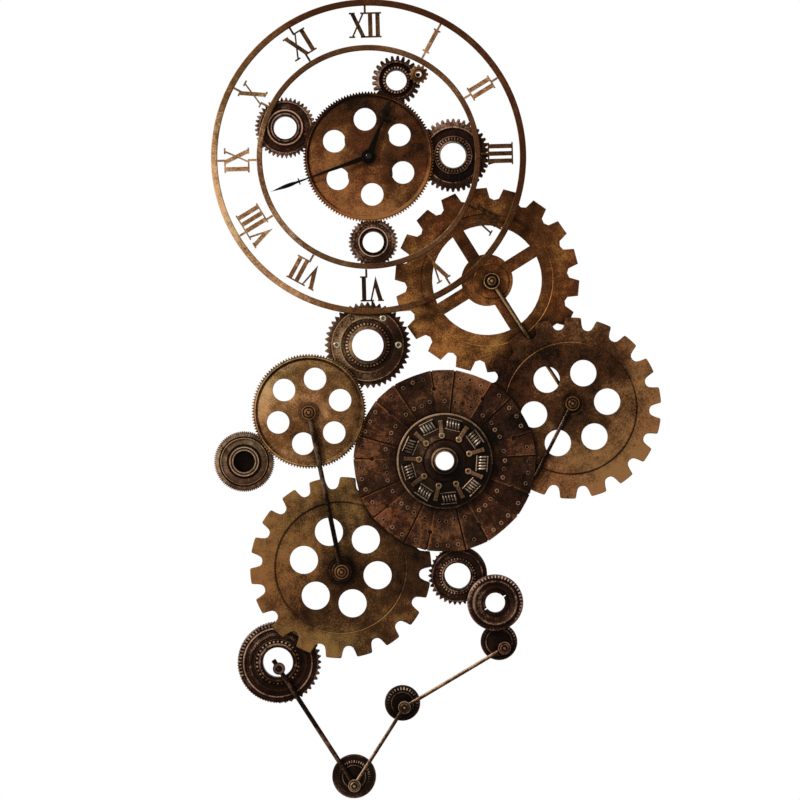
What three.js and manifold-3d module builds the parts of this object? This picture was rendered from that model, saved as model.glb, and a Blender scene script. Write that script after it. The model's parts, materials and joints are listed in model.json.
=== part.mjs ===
// Gear wall clock: cut plate gears, old gearbox gears and a riveted disc fastened into one
// sculpture, with a ring dial, cut Roman numerals and a quartz movement behind the centre gear.
// Sizes are millimetres. Every piece is drawn as seen from the front: x to the right, y up and
// z the distance from the wall. The clock is stood up at the end, so that +Z is up and the
// front faces -Y.

import * as THREE from 'three';
import { mergeVertices } from 'three/addons/utils/BufferGeometryUtils.js';
import Module from 'manifold-3d';

const wasm = await Module();
wasm.setup();

// Fits
const seatGap = 0.3; // between faces that rest on each other
const boltFit = 0.3; // round a bolt shank, on the radius
const runningFit = 0.25; // round an arbor that turns, on the radius

// Facets: flat sides of a turned solid, and steps along each arc of a plate's outline
const sides = {
  bolt: 10, boss: 12, sleeve: 14, shaft: 16, groove: 18, wheel: 20, collar: 22, gear: 24, hub: 30,
};
const arcs = {
  corner: 2, slotEye: 3, shank: 4, spoke: 5, bore: 6, usual: 7, eye: 8, disc: 24, ring: 28, relief: 36,
};

// Sheet and plate thicknesses
const wallStandoff = 6; // wall to the back of the spoke gear
const coarsePlate = 5;
const facingPlate = 4;
const dialSheet = 3;
const dishedWeb = 3;
const backRod = 5; // thickness of the rod behind the right gear
const linkRod = 4; // thickness of the other rods

// Dial
const innerRingRadius = 140;
const innerRingBand = 7;
const innerStem = 9;
const numeralHeight = 31.5;
const outerStem = 8.5;
const outerRingBand = 8;
const stemWidth = 2.6;
const stemless = { foot: ['XII'], head: ['III', 'VII'] }; // numerals held on one side only
const thickStroke = 5.4;
const thinStroke = 2.2;
const serifHeight = 1.9;
const serifWidth = 7.6;
const letterWidth = { I: 9.2, V: 20, X: 22 };
const dialTurn = 1.5; // degrees, anticlockwise
const numerals = ['I', 'II', 'III', 'IV', 'V', 'VI', 'VII', 'VIII', 'IX', 'X', 'XI', 'XII'];

// Dished gears with fine teeth
const centreGear = {
  teeth: 66, tip: 82, toothHeight: 2.6, rimWidth: 5, rimRise: 2,
  holes: 6, holeRadius: 14.1, holeCircle: 47.1, holeStart: 35.5,
};
const leftGear = {
  teeth: 60, tip: 71.9, toothHeight: 2.4, rimWidth: 5.4, rimRise: 2,
  holes: 6, holeRadius: 14, holeCircle: 41.1, holeStart: 19.7,
};

// Coarse plate gears
const coarseTooth = 15;
const spokeGear = {
  teeth: 18, tip: 115.9, toothHeight: coarseTooth, phase: 15,
  spokes: 4, spokeStart: 32, spokeWidth: 16, windowInner: 32.5, windowOuter: 68.8,
};
const spokePegRadius = 3;
const plateGear = { teeth: 18, tip: 113.5, toothHeight: coarseTooth };
const rightHoles = { holes: 6, holeRadius: 16.5, holeCircle: 46.5, holeStart: 10 };
const lowerHoles = { holes: 6, holeRadius: 17.6, holeCircle: 47.1, holeStart: 48.3 };
const rightPhase = 8.4;
const lowerPhase = 105.5;

// Gearbox gears: length is along the bore, the ring runs round the bore and the recess is the
// groove between the ring and the toothed rim
const boxDepth = 13.9; // from the back of the dial gears to the back of the dial
const leftDialGear = { teeth: 41, tip: 37.9, toothHeight: 4, bore: 14.4, ring: 22.5, recess: 31 };
const rightDialGear = { teeth: 40, tip: 45.5, toothHeight: 4.2, bore: 16, ring: 22.5, recess: 33.8 };
const lowDialGear = { teeth: 36, tip: 30.8, toothHeight: 2.8, bore: 13.2, ring: 18, recess: 23.5 };
const topGear = { teeth: 25, tip: 30.6, toothHeight: 5.6, bore: 12.9, ring: 16.9, recess: 21.5 };
const idlerGear = { teeth: 44, tip: 37.9, toothHeight: 1.8, bore: 13.4, ring: 18.6, recess: 30.6 };
const dogGear = { teeth: 34, tip: 36.5, toothHeight: 3.6, bore: 16.5, ring: 22.5, recess: 29 };
const cornerGear = { teeth: 44, tip: 54, toothHeight: 4.4, bore: 18.8, ring: 26, recess: 44 };
const flangeGear = { teeth: 44, tip: 54, toothHeight: 4, bore: 19.8, ring: 27.5, recess: 33 };
const recessDepth = 3;
const dogCollar = 32.5;
const flangeFace = 45.6;
const flangeFaceRise = 4.3;
const idlerFloor = 2.5; // wall left behind the idler's blind bore
const pinion = { teeth: 12, tip: 12.1, toothHeight: 2.4, bore: 3.5 };
const pinionThickness = 4;

// Keyed wheel and the small bolted wheels
const keyedWheel = { radius: 35, bore: 12.3, lip: 26.9, lipWidth: 4, length: 12 };
const keyway = { width: 2.2, depth: 4.2, turn: 36 };
const endWheel = { radius: 23, ring: 17.5, length: 9.6 };
const midWheel = { radius: 22.3, ring: 16.5, length: 8.3 };
const lowWheel = { radius: 27.5, ring: 20.5, length: 8.3 };
const wheelRecess = 1.6;
const bossRadius = 7.5;

// Riveted disc with its sprung hub
const disc = { radius: 114.4, segments: 9, joint: 3.5, jointWidth: 1.3, jointDepth: 1.4 };
const slot = { offset: 15, width: 1.6, inner: 91, eye: 2.6, floor: 1.2 };
const hub = {
  radius: 59.8, edge: 2.6, edgeRise: 1, plate: 4, dish: 27.5, dishDepth: 2, tube: 16.8, bore: 11.6,
};
const hubTubeRise = 4;
const springs = { count: 9, start: 36, circle: 46.3, windowLength: 20, windowWidth: 11 };
const coil = { turns: 4, stepsPerTurn: 6, sides: 4, radius: 4, wire: 0.8 };
const coilSeat = 1.5; // length of each straight end inside the hub plate
const straps = { start: 16.5, inner: 32.5, outer: 50, width: 4.6, rise: 1.2 };

// Rods and bolts
const rodWidth = 5.6;
const rodEye = 8.4;
const rodStub = 9;
const boltShank = 2.5;
const boltWasher = 1.6;
const boltNut = { radius: 6, height: 5 };
const washerRadius = 9;
const hubWasher = { right: 10.4, left: 12.5 };
const hubBossRise = 3.3; // left gear's hub above its web

// Layout: directions in degrees from one piece to the next, and how far their outlines overlap
const dialLap = { left: 9, right: 21.7, bottom: 6.5, top: 10.3 };
const dialAngle = { left: 160.5, right: 1.4, bottom: -86.9, top: 70.2, pinion: 58.8 };
const spokeAngle = -45.9;
const spokeBeyondRing = 20.4;
const flangeAngle = -90.3;
const flangeUnderRing = 7.6;
const rightAngle = -57;
const rightLap = 37.9;
const leftAngle = -131.4;
const leftLap = 15.4;
const discAngle = -20.1;
const discLap = 5.9;
const lowerAngle = -134.2;
const lowerLap = 41.4;
const idlerAngle = -142.3;
const idlerLap = 7;
const dogAngle = -4.2;
const keyedAngle = -34.7;
const keyedLap = 10.4;
const endAngle = -84.3;
const endLap = 8;
const cornerAngle = -123.5;
const cornerLap = 24.4;
const lowWheelAngle = -56.2;
const lowWheelReach = 171.9;
const midWheelAngle = 56.6;
const midWheelReach = 110.2;
const boltOffset = {
  spoke: [5.6, -1.5], right: [2.1, 5.8], left: [-0.3, -1.6], lower: [1.4, -4.5],
  end: [6.5, -6.9], mid: [2.4, -4], low: [0.5, -10.3],
};
const rodEyeInCorner = [1.6, -7.3];
const discRodAngle = 243; // direction of the rod that runs from the right gear to the disc
const discRodReach = 140;

// Hands, set at eighteen minutes to one
const minuteAngle = 250.1; // clockwise from twelve
const hourAngle = 20.9;
const minuteHand = {
  length: 129, hub: 6.2, root: 3.4, neck: 0.8, neckAt: 78, crossAt: 92, crossHalf: 4.2, leaf: 1.9,
};
const hourHand = {
  length: 78, hub: 9, root: 4.6, neck: 1.3, neckAt: 47, crossAt: 51, crossHalf: 7, leaf: 3.4,
};
const handSheet = 1.2;
const crossWidth = 1.6;
const handSpacing = 1.2; // clear height between the hands
const handNut = { radius: 4, height: 3.4, dome: 1, cover: 1 }; // cover is over the arbor's end

// Quartz movement
const movementTurn = 5.5; // turned so that its corners stay clear of the round holes
const movementSide = 56;
const movementDepth = 13.7;
const movementWall = 2;
const movementCorner = 4;
const coverThickness = 2;
const bushing = { radius: 3.9, rise: 7.2 };
const shaftNut = { flats: 12, height: 2.5 };
const hourTube = { radius: 2.6, wheel: 7.8, wheelThickness: 2.4 };
const minuteArbor = { radius: 1.6, pinion: 2.35, pinionLength: 2.5 };
const wheelGap = 2.6; // between the hour wheel and the setting wheel
const settingOffset = 10;
const settingShaft = 1.5;
const settingKnob = { radius: 6, length: 5 };
const meshFit = 0.3; // between the rims of wheels in mesh
const cell = { radius: 7.1, length: 50, buttonRadius: 2.7, buttonLength: 1.2 };
const cellFit = 0.4;
const cellOffset = 17.6;

// Hanger plates on the back
const hangerSheet = 2.5;
const hangerAngle = 125.5;
const hangerInner = 50;
const hangerOuter = 77;
const rightHangerAngle = 76;
const rightHangerInner = 66;
const rightHangerOuter = 93;
const hangerHalfAngle = 11.5;
const hangerPost = 3.5;
const hangerPostInset = 6;
const hangerPostSpread = 8;
const keyholeHead = 4;
const keyholeSlot = 2.2;
const keyholeRun = 7;
const keyholeInset = 10; // from the plate's inner edge to the round part of the keyhole
const hangerMountInset = 3.5; // from the plate's outer edge to the reference point

// Depths of the layers, from the wall
const spokeFront = wallStandoff + coarsePlate;
const backRodBack = spokeFront + seatGap;
const plateBack = backRodBack + backRod + seatGap;
const plateFront = plateBack + coarsePlate;
const discBack = plateFront + seatGap;
const discFront = discBack + facingPlate;
const dialBack = discFront + seatGap;
const webFront = dialBack + dishedWeb;
const boxFront = dialBack - seatGap;
const boxBack = boxFront - boxDepth;
const lowFront = plateBack - seatGap;
const topRodBack = webFront + hubBossRise + seatGap;

// Plane helpers
const radians = THREE.MathUtils.degToRad;

function polar(radius, degrees, [x, y] = [0, 0]) {
  return [x + radius * Math.cos(radians(degrees)), y + radius * Math.sin(radians(degrees))];
}

function offset([x, y], [dx, dy]) {
  return [x + dx, y + dy];
}

function bearing([ax, ay], [bx, by]) {
  return THREE.MathUtils.radToDeg(Math.atan2(by - ay, bx - ax));
}

function spacing([ax, ay], [bx, by]) {
  return Math.hypot(bx - ax, by - ay);
}

function outline(points) {
  return new THREE.Shape(points.map(([x, y]) => new THREE.Vector2(x, y)));
}

function addHole(shape, radius, [x, y] = [0, 0]) {
  const hole = new THREE.Path();
  hole.absarc(x, y, radius, 0, 2 * Math.PI, true);
  shape.holes.push(hole);
  return shape;
}

function disk(radius) {
  const shape = new THREE.Shape();
  shape.absarc(0, 0, radius, 0, 2 * Math.PI);
  return shape;
}

function bar(left, right, bottom, top) {
  return outline([[left, bottom], [right, bottom], [right, top], [left, top]]);
}

function box(width, height) {
  return bar(-width / 2, width / 2, -height / 2, height / 2);
}

// Solid helpers
const weld = 1e-3;

function solidOf(geometry) {
  const bare = new THREE.BufferGeometry();
  bare.setAttribute('position', geometry.attributes.position);
  if (geometry.index) {
    bare.setIndex(geometry.index);
  }
  const merged = mergeVertices(bare, weld);
  const corners = Array.from(merged.index.array);
  const triangles = [];
  for (let first = 0; first < corners.length; first += 3) {
    const [a, b, c] = corners.slice(first, first + 3);
    if (a !== b && b !== c && c !== a) {
      triangles.push(a, b, c);
    }
  }
  return new wasm.Manifold(new wasm.Mesh({
    numProp: 3,
    vertProperties: merged.attributes.position.array,
    triVerts: new Uint32Array(triangles),
  }));
}

function plate(shape, thickness, arcSteps = arcs.usual) {
  const settings = { depth: thickness, bevelEnabled: false, curveSegments: arcSteps };
  return solidOf(new THREE.ExtrudeGeometry(shape, settings));
}

// A turned solid: the profile runs from the back, outwards and forwards, to the front.
function turned(profile, count = sides.gear) {
  const points = profile.map(([radius, depth]) => new THREE.Vector2(radius, depth));
  return solidOf(new THREE.LatheGeometry(points, count).rotateX(Math.PI / 2));
}

function ringSolid(inner, outer, back, front, count = sides.gear) {
  return turned([[inner, back], [outer, back], [outer, front], [inner, front], [inner, back]], count);
}

function joined(solids) {
  return solids.reduce((whole, next) => whole.add(next));
}

// Finishes
function finish(color, roughness, metalness) {
  return new THREE.MeshStandardMaterial({ color, roughness, metalness });
}

const bronzePlate = finish('#6a4522', 0.5, 0.8);
const darkSteel = finish('#2a1d13', 0.5, 0.8);
const tanSteel = finish('#8a6338', 0.5, 0.7);
const discSteel = finish('#3a2416', 0.6, 0.7);
const boltBronze = finish('#8a6840', 0.4, 0.9);
const copperRod = finish('#7a4e2c', 0.4, 0.9);
const handBlack = finish('#0c0a08', 0.4, 0.3);
const caseBlack = finish('#191919', 0.6, 0);
const brass = finish('#b08d4a', 0.35, 1);
const cellWrap = finish('#3a3d40', 0.4, 0.2);
const knobWhite = finish('#d8d6cf', 0.5, 0);

const clock = new THREE.Group();

function piece(name, solid, material, [x, y], depth, turn = 0) {
  const { vertProperties, triVerts } = solid.getMesh();
  const geometry = new THREE.BufferGeometry();
  geometry.setAttribute('position', new THREE.BufferAttribute(new Float32Array(vertProperties), 3));
  geometry.setIndex(new THREE.BufferAttribute(new Uint32Array(triVerts), 1));
  geometry.computeVertexNormals();
  const mesh = new THREE.Mesh(geometry, material);
  mesh.name = name;
  mesh.position.set(x, y, depth);
  mesh.rotation.z = radians(turn);
  clock.add(mesh);
  return mesh;
}

// Gear outlines: a tooth is a list of [share of the pitch, share of the tooth height]
const pointedTooth = [[-0.5, 0], [0, 1]];
const straightTooth = [[-0.5, 0], [-0.17, 1], [0.17, 1]];
const plateTooth = [[-0.5, 0], [-0.34, 0.16], [-0.24, 1], [0.24, 1], [0.34, 0.16]];

function gearOutline({ teeth, tip, toothHeight, phase = 0 }, tooth) {
  const points = [];
  for (let count = 0; count < teeth; count += 1) {
    for (const [pitchShare, heightShare] of tooth) {
      const radius = tip - toothHeight * (1 - heightShare);
      points.push(polar(radius, phase + (count + pitchShare) * 360 / teeth));
    }
  }
  return outline(points);
}

function addHoleCircle(shape, { holes, holeRadius, holeCircle, holeStart }) {
  for (let count = 0; count < holes; count += 1) {
    addHole(shape, holeRadius, polar(holeCircle, holeStart + count * 360 / holes));
  }
  return shape;
}

// A dished gear: a thin web with round holes inside a raised, finely toothed rim.
function dishedGear(gear, hubBore, hubAt) {
  const root = gear.tip - gear.toothHeight;
  const web = addHoleCircle(addHole(gearOutline(gear, pointedTooth), hubBore, hubAt), gear);
  const rimFront = dishedWeb + gear.rimRise;
  const rim = ringSolid(root - gear.rimWidth, root - seatGap, dishedWeb - seatGap, rimFront, sides.hub);
  return plate(web, dishedWeb).add(rim);
}

// A gearbox gear: a toothed body with a bore and a groove in its face.
function gearboxGear(gear, length, tooth, groove = recessDepth) {
  const body = plate(addHole(gearOutline(gear, tooth), gear.bore), length);
  return body.subtract(ringSolid(gear.ring, gear.recess, length - groove, length + groove, sides.groove));
}

// A small bolted wheel: a turned disc with a recessed band, a raised boss under its bolt and a
// hole for the bolt.
function boltedWheel({ radius, ring, length }, boltAt, bossRise) {
  const bossTop = length + bossRise;
  const shoulder = length - wheelRecess;
  const body = turned([[0, 0], [radius, 0], [radius, shoulder], [ring, length], [0, length]], sides.wheel);
  const boss = turned([[0, 0], [bossRadius, 0], [bossRadius, bossTop], [0, bossTop]], sides.boss);
  const bore = plate(disk(boltShank + boltFit), bossTop + 2 * seatGap, arcs.shank);
  return body.add(boss.translate(...boltAt, 0)).subtract(bore.translate(...boltAt, -seatGap));
}

// Layout of the centres, each from the piece that carries it
const dialAxis = [0, 0];
const outerRingInner = innerRingRadius + innerStem + numeralHeight + outerStem;
const outerRingRadius = outerRingInner + outerRingBand;
const innerRingInner = innerRingRadius - innerRingBand;
const leftDialAt = polar(centreGear.tip + leftDialGear.tip - dialLap.left, dialAngle.left);
const rightDialAt = polar(centreGear.tip + rightDialGear.tip - dialLap.right, dialAngle.right);
const lowDialAt = polar(centreGear.tip + lowDialGear.tip - dialLap.bottom, dialAngle.bottom);
const topAt = polar(centreGear.tip + topGear.tip - dialLap.top, dialAngle.top);
const pinionAt = polar(innerRingInner - pinion.tip - seatGap, dialAngle.pinion);
const spokeAt = polar(outerRingRadius - outerRingBand / 2 + spokeBeyondRing, spokeAngle);
const flangeAt = polar(outerRingRadius + flangeFace - flangeUnderRing, flangeAngle);
const rightAt = polar(spokeGear.tip + plateGear.tip - rightLap, rightAngle, spokeAt);
const leftAt = polar(flangeGear.tip + leftGear.tip - leftLap, leftAngle, flangeAt);
const discAt = polar(leftGear.tip + disc.radius - discLap, discAngle, leftAt);
const lowerAt = polar(disc.radius + plateGear.tip - lowerLap, lowerAngle, discAt);
const idlerAt = polar(leftGear.tip + idlerGear.tip - idlerLap, idlerAngle, leftAt);
const dogAt = polar(plateGear.tip + dogCollar + 2 * seatGap, dogAngle, lowerAt);
const keyedAt = polar(dogCollar + keyedWheel.radius - keyedLap, keyedAngle, dogAt);
const endAt = polar(keyedWheel.radius + endWheel.radius - endLap, endAngle, keyedAt);
const cornerAt = polar(plateGear.tip + cornerGear.tip - cornerLap, cornerAngle, lowerAt);
const lowAt = polar(lowWheelReach, lowWheelAngle, cornerAt);
const midAt = polar(midWheelReach, midWheelAngle, lowAt);
const spokeBoltAt = offset(spokeAt, boltOffset.spoke);
const rightBoltAt = offset(rightAt, boltOffset.right);
const leftBoltAt = offset(leftAt, boltOffset.left);
const lowerBoltAt = offset(lowerAt, boltOffset.lower);
const endBoltAt = offset(endAt, boltOffset.end);
const midBoltAt = offset(midAt, boltOffset.mid);
const lowBoltAt = offset(lowAt, boltOffset.low);
const cornerEyeAt = offset(cornerAt, rodEyeInCorner);

// Dial rings
const outerRing = addHole(disk(outerRingRadius), outerRingInner);
piece('outer_ring', plate(outerRing, dialSheet, arcs.ring), tanSteel, dialAxis, dialBack);
const innerRing = addHole(disk(innerRingRadius), innerRingInner);
piece('inner_ring', plate(innerRing, dialSheet, arcs.disc), tanSteel, dialAxis, dialBack);

// A numeral is built from slanted strokes with level ends and from flat serifs. Its feet stand
// at y = 0 and point to the dial's centre.
function stroke(footX, headX, width) {
  const half = width / 2;
  const foot = [[footX - half, 0], [footX + half, 0]];
  const head = [[headX + half, numeralHeight], [headX - half, numeralHeight]];
  return outline([...foot, ...head]);
}

// A V: a thick and a thin stroke that run down to one point
function wedge(thickHead, thinHead, point) {
  const left = thickHead - thickStroke / 2;
  const right = thinHead + thinStroke / 2;
  const crotch = (thickStroke + thinStroke) / (right - left);
  const crotchX = point + thickStroke + (left - point) * crotch;
  const head = (x) => [x, numeralHeight];
  const inside = [head(right - thinStroke), [crotchX, crotch * numeralHeight], head(left + thickStroke)];
  return outline([[point, 0], head(right), ...inside, head(left)]);
}

// Strokes of a letter, and the stretches that its serifs cover along the head and foot lines
function letterParts(letter, left) {
  const right = left + letterWidth[letter];
  const middle = (left + right) / 2;
  const near = left + serifWidth / 2;
  const far = right - serifWidth / 2;
  const whole = [[left, right]];
  const pair = [[left, left + serifWidth], [right - serifWidth, right]];
  if (letter === 'I') {
    return { strokes: [stroke(middle, middle, thickStroke)], headSerifs: whole, footSerifs: whole };
  }
  if (letter === 'V') {
    return { strokes: [wedge(near, far, middle)], headSerifs: pair, footSerifs: [] };
  }
  const strokes = [stroke(far, near, thickStroke), stroke(near, far, thinStroke)];
  return { strokes, headSerifs: pair, footSerifs: pair };
}

function mergedStretches(stretches) {
  const merged = [];
  for (const [left, right] of stretches) {
    const last = merged[merged.length - 1];
    if (last && left <= last[1] + weld) {
      last[1] = right;
    } else {
      merged.push([left, right]);
    }
  }
  return merged;
}

// Where a stem stands: as near to the numeral's middle as the serifs allow, or under a V's point
function stemPlace(stretches) {
  const half = stemWidth / 2;
  const places = stretches.map(([from, to]) => Math.min(Math.max(0, from + half), to - half));
  return places.reduce((best, x) => (Math.abs(x) < Math.abs(best) ? x : best), places[0] ?? 0);
}

function numeralSolid(word) {
  const width = [...word].reduce((sum, letter) => sum + letterWidth[letter], 0);
  const parts = [];
  let left = -width / 2;
  for (const letter of word) {
    parts.push(letterParts(letter, left));
    left += letterWidth[letter];
  }
  const heads = mergedStretches(parts.flatMap((part) => part.headSerifs));
  const feet = mergedStretches(parts.flatMap((part) => part.footSerifs));
  const footX = stemPlace(feet);
  const headX = stemPlace(heads);
  const base = innerRingRadius + innerStem;
  const half = stemWidth / 2;
  const footAside = Math.max(0, Math.abs(footX) - half);
  const footEnd = Math.sqrt((innerRingRadius + seatGap) ** 2 - footAside ** 2) - base;
  const headEnd = Math.sqrt((outerRingInner - seatGap) ** 2 - (Math.abs(headX) + half) ** 2) - base;
  const shapes = [
    ...parts.flatMap((part) => part.strokes),
    ...heads.map(([from, to]) => bar(from, to, numeralHeight - serifHeight, numeralHeight)),
    ...feet.map(([from, to]) => bar(from, to, 0, serifHeight)),
  ];
  if (!stemless.foot.includes(word)) {
    shapes.push(bar(footX - half, footX + half, footEnd, serifHeight / 2));
  }
  if (!stemless.head.includes(word)) {
    shapes.push(bar(headX - half, headX + half, numeralHeight - serifHeight / 2, headEnd));
  }
  return joined(shapes.map((shape) => plate(shape, dialSheet))).translate(0, base, 0);
}

numerals.forEach((word, index) => {
  const hour = index + 1;
  const name = `numeral_${String(hour).padStart(2, '0')}`;
  piece(name, numeralSolid(word), tanSteel, dialAxis, dialBack, dialTurn - 30 * hour);
});

// Dial gears behind the rings and the centre gear
piece('centre_gear', dishedGear(centreGear, bushing.radius + boltFit), bronzePlate, dialAxis, dialBack);
function dialGear(name, gear, tooth, at) {
  piece(name, gearboxGear(gear, boxDepth, tooth), darkSteel, at, boxBack);
}

dialGear('left_dial_gear', leftDialGear, pointedTooth, leftDialAt);
dialGear('right_dial_gear', rightDialGear, straightTooth, rightDialAt);
dialGear('bottom_dial_gear', lowDialGear, pointedTooth, lowDialAt);
dialGear('top_gear', topGear, straightTooth, topAt);
const pinionShape = addHole(gearOutline(pinion, straightTooth), pinion.bore);
const pinionSolid = plate(pinionShape, pinionThickness, arcs.bore);
piece('top_pinion', pinionSolid, brass, pinionAt, dialBack);

// Flange gear: a low toothed rim round a raised face that carries the ring and the left gear
const flangeRimLength = boxDepth - flangeFaceRise;
const flangeRim = gearboxGear(flangeGear, flangeRimLength, pointedTooth, flangeFaceRise / 2);
const flangeRiseBack = flangeRimLength - seatGap;
const flangeRise = ringSolid(flangeGear.recess, flangeFace, flangeRiseBack, boxDepth, sides.collar);
piece('flange_gear', flangeRim.add(flangeRise), darkSteel, flangeAt, boxBack);

// Spoke gear with two pegs that carry it on the back of the outer ring
function spokeWindow(index) {
  const { spokes, spokeStart, spokeWidth, windowInner, windowOuter } = spokeGear;
  const start = spokeStart + index * 360 / spokes;
  const end = start + 360 / spokes;
  const setback = (radius) => THREE.MathUtils.radToDeg(Math.asin(spokeWidth / 2 / radius));
  const window = new THREE.Path();
  const outerSetback = setback(windowOuter);
  const innerSetback = setback(windowInner);
  window.absarc(0, 0, windowOuter, radians(start + outerSetback), radians(end - outerSetback), false);
  window.absarc(0, 0, windowInner, radians(end - innerSetback), radians(start + innerSetback), true);
  return window;
}

function ringCrossings(radius, centre, centreRadius) {
  const distance = spacing(dialAxis, centre);
  const along = (radius ** 2 - centreRadius ** 2 + distance ** 2) / (2 * distance);
  const half = THREE.MathUtils.radToDeg(Math.acos(along / radius));
  const direction = bearing(dialAxis, centre);
  return [polar(radius, direction - half), polar(radius, direction + half)];
}

const spokeShape = addHole(gearOutline(spokeGear, plateTooth), boltShank + boltFit, boltOffset.spoke);
for (let index = 0; index < spokeGear.spokes; index += 1) {
  spokeShape.holes.push(spokeWindow(index));
}
const spokeRimMiddle = (spokeGear.windowOuter + spokeGear.tip - spokeGear.toothHeight) / 2;
const pegPlaces = ringCrossings(outerRingRadius - outerRingBand / 2, spokeAt, spokeRimMiddle);
const pegs = pegPlaces.map(([x, y]) => {
  const peg = plate(disk(spokePegRadius), dialBack - seatGap - wallStandoff, arcs.shank);
  return peg.translate(x - spokeAt[0], y - spokeAt[1], 0);
});
const spokeSolid = joined([plate(spokeShape, coarsePlate, arcs.spoke), ...pegs]);
piece('spoke_gear', spokeSolid, bronzePlate, spokeAt, wallStandoff);

// Plate gears with six round holes
function holedPlateGear(phase, holes, boltAt) {
  const shape = gearOutline({ ...plateGear, phase }, plateTooth);
  addHole(shape, boltShank + boltFit, boltAt);
  return plate(addHoleCircle(shape, holes), coarsePlate);
}

const rightSolid = holedPlateGear(rightPhase, rightHoles, boltOffset.right);
piece('right_gear', rightSolid, bronzePlate, rightAt, plateBack);
const lowerSolid = holedPlateGear(lowerPhase, lowerHoles, boltOffset.lower);
piece('lower_left_gear', lowerSolid, bronzePlate, lowerAt, plateBack);

// Left gear and the idler wheel behind it
const leftBossShape = addHole(disk(hubWasher.left), boltShank + boltFit);
const leftBossBlank = plate(leftBossShape, topRodBack - seatGap - dialBack, arcs.bore);
const leftBoss = leftBossBlank.translate(...boltOffset.left, 0);
const leftSolid = dishedGear(leftGear, boltShank + boltFit, boltOffset.left).add(leftBoss);
piece('left_gear', leftSolid, bronzePlate, leftAt, dialBack);
const idlerGrooveFloor = boxDepth - recessDepth;
const { ring: idlerRing, recess: idlerRecess } = idlerGear;
const idlerGroove = ringSolid(idlerRing, idlerRecess, idlerGrooveFloor, 2 * boxDepth, sides.groove);
const idlerBlank = plate(gearOutline(idlerGear, pointedTooth), boxDepth).subtract(idlerGroove);
const idlerBore = plate(disk(idlerGear.bore), boxDepth).translate(0, 0, idlerFloor);
piece('idler_wheel', idlerBlank.subtract(idlerBore), darkSteel, idlerAt, boxBack);

// Facing disc: nine segments marked by joint grooves, each with a blind slot that ends in a round eye
function slotCutter(degrees) {
  const reach = disc.radius + disc.jointWidth;
  const depth = facingPlate - slot.floor + seatGap;
  const run = plate(box(reach - slot.inner, slot.width), depth);
  const eye = plate(disk(slot.eye), depth, arcs.slotEye).translate(slot.inner, 0, 0);
  const cutter = run.translate((reach + slot.inner) / 2, 0, 0).add(eye);
  return cutter.translate(0, 0, slot.floor).rotate(0, 0, degrees);
}

function jointCutter(degrees) {
  const reach = disc.radius + disc.jointWidth;
  const groove = plate(box(reach - hub.radius, disc.jointWidth), disc.jointDepth + seatGap);
  return groove.translate((reach + hub.radius) / 2, 0, facingPlate - disc.jointDepth).rotate(0, 0, degrees);
}

let facing = plate(addHole(disk(disc.radius), hub.tube + seatGap), facingPlate, arcs.disc);
for (let index = 0; index < disc.segments; index += 1) {
  const joint = disc.joint + index * 360 / disc.segments;
  facing = facing.subtract(jointCutter(joint)).subtract(slotCutter(joint + slot.offset));
}
piece('facing_disc', facing, discSteel, discAt, discBack);

// Hub of the disc: a turned plate with nine windows, a coil spring in each and straps between
const hubBack = facingPlate; // the hub's tube runs back through the facing disc
const hubFront = hubBack + hub.plate;
const coilDepth = hubBack + 3 * seatGap + coil.radius + coil.wire; // clear of the facing disc

function coilPath() {
  const { turns, stepsPerTurn, radius, wire } = coil;
  const wall = springs.windowLength / 2;
  const run = springs.windowLength - 4 * wire;
  const points = [new THREE.Vector3(-wall - coilSeat, 0, -radius)];
  for (let step = 0; step <= turns * stepsPerTurn; step += 1) {
    const turn = 2 * Math.PI * step / stepsPerTurn;
    const along = run * (step / (turns * stepsPerTurn) - 0.5);
    points.push(new THREE.Vector3(along, radius * Math.sin(turn), -radius * Math.cos(turn)));
  }
  points.push(new THREE.Vector3(wall + coilSeat, 0, -radius));
  return points;
}

// A tube of a few flat sides that follows the coil in one unbroken run
function coilSolid() {
  const path = coilPath();
  const { sides: flats, wire } = coil;
  const positions = [];
  const triangles = [];
  path.forEach((point, index) => {
    const before = path[Math.max(0, index - 1)];
    const after = path[Math.min(path.length - 1, index + 1)];
    const along = new THREE.Vector3().subVectors(after, before).normalize();
    const outward = new THREE.Vector3(0, point.y, point.z).normalize();
    const across = new THREE.Vector3().crossVectors(along, outward).normalize();
    const lift = new THREE.Vector3().crossVectors(across, along);
    for (let side = 0; side < flats; side += 1) {
      const angle = 2 * Math.PI * side / flats;
      const rim = point.clone();
      rim.addScaledVector(lift, wire * Math.cos(angle));
      rim.addScaledVector(across, wire * Math.sin(angle));
      positions.push(rim.x, rim.y, rim.z);
    }
  });
  for (let ring = 0; ring < path.length - 1; ring += 1) {
    for (let side = 0; side < flats; side += 1) {
      const next = (side + 1) % flats;
      const a = ring * flats + side;
      const b = ring * flats + next;
      triangles.push(a, b + flats, a + flats, a, b, b + flats);
    }
  }
  const last = (path.length - 1) * flats;
  for (let side = 1; side < flats - 1; side += 1) {
    triangles.push(0, side + 1, side, last, last + side, last + side + 1);
  }
  const geometry = new THREE.BufferGeometry();
  geometry.setAttribute('position', new THREE.Float32BufferAttribute(positions, 3));
  geometry.setIndex(triangles);
  return solidOf(geometry);
}

function leastCoilGap() {
  const path = coilPath();
  let least = Infinity;
  path.forEach((point, index) => {
    path.slice(index + coil.stepsPerTurn - 1).forEach((other) => {
      least = Math.min(least, point.distanceTo(other));
    });
  });
  return least - 2 * coil.wire;
}

console.log(`least gap between the turns of a coil spring: ${leastCoilGap().toFixed(2)} mm`);

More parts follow.
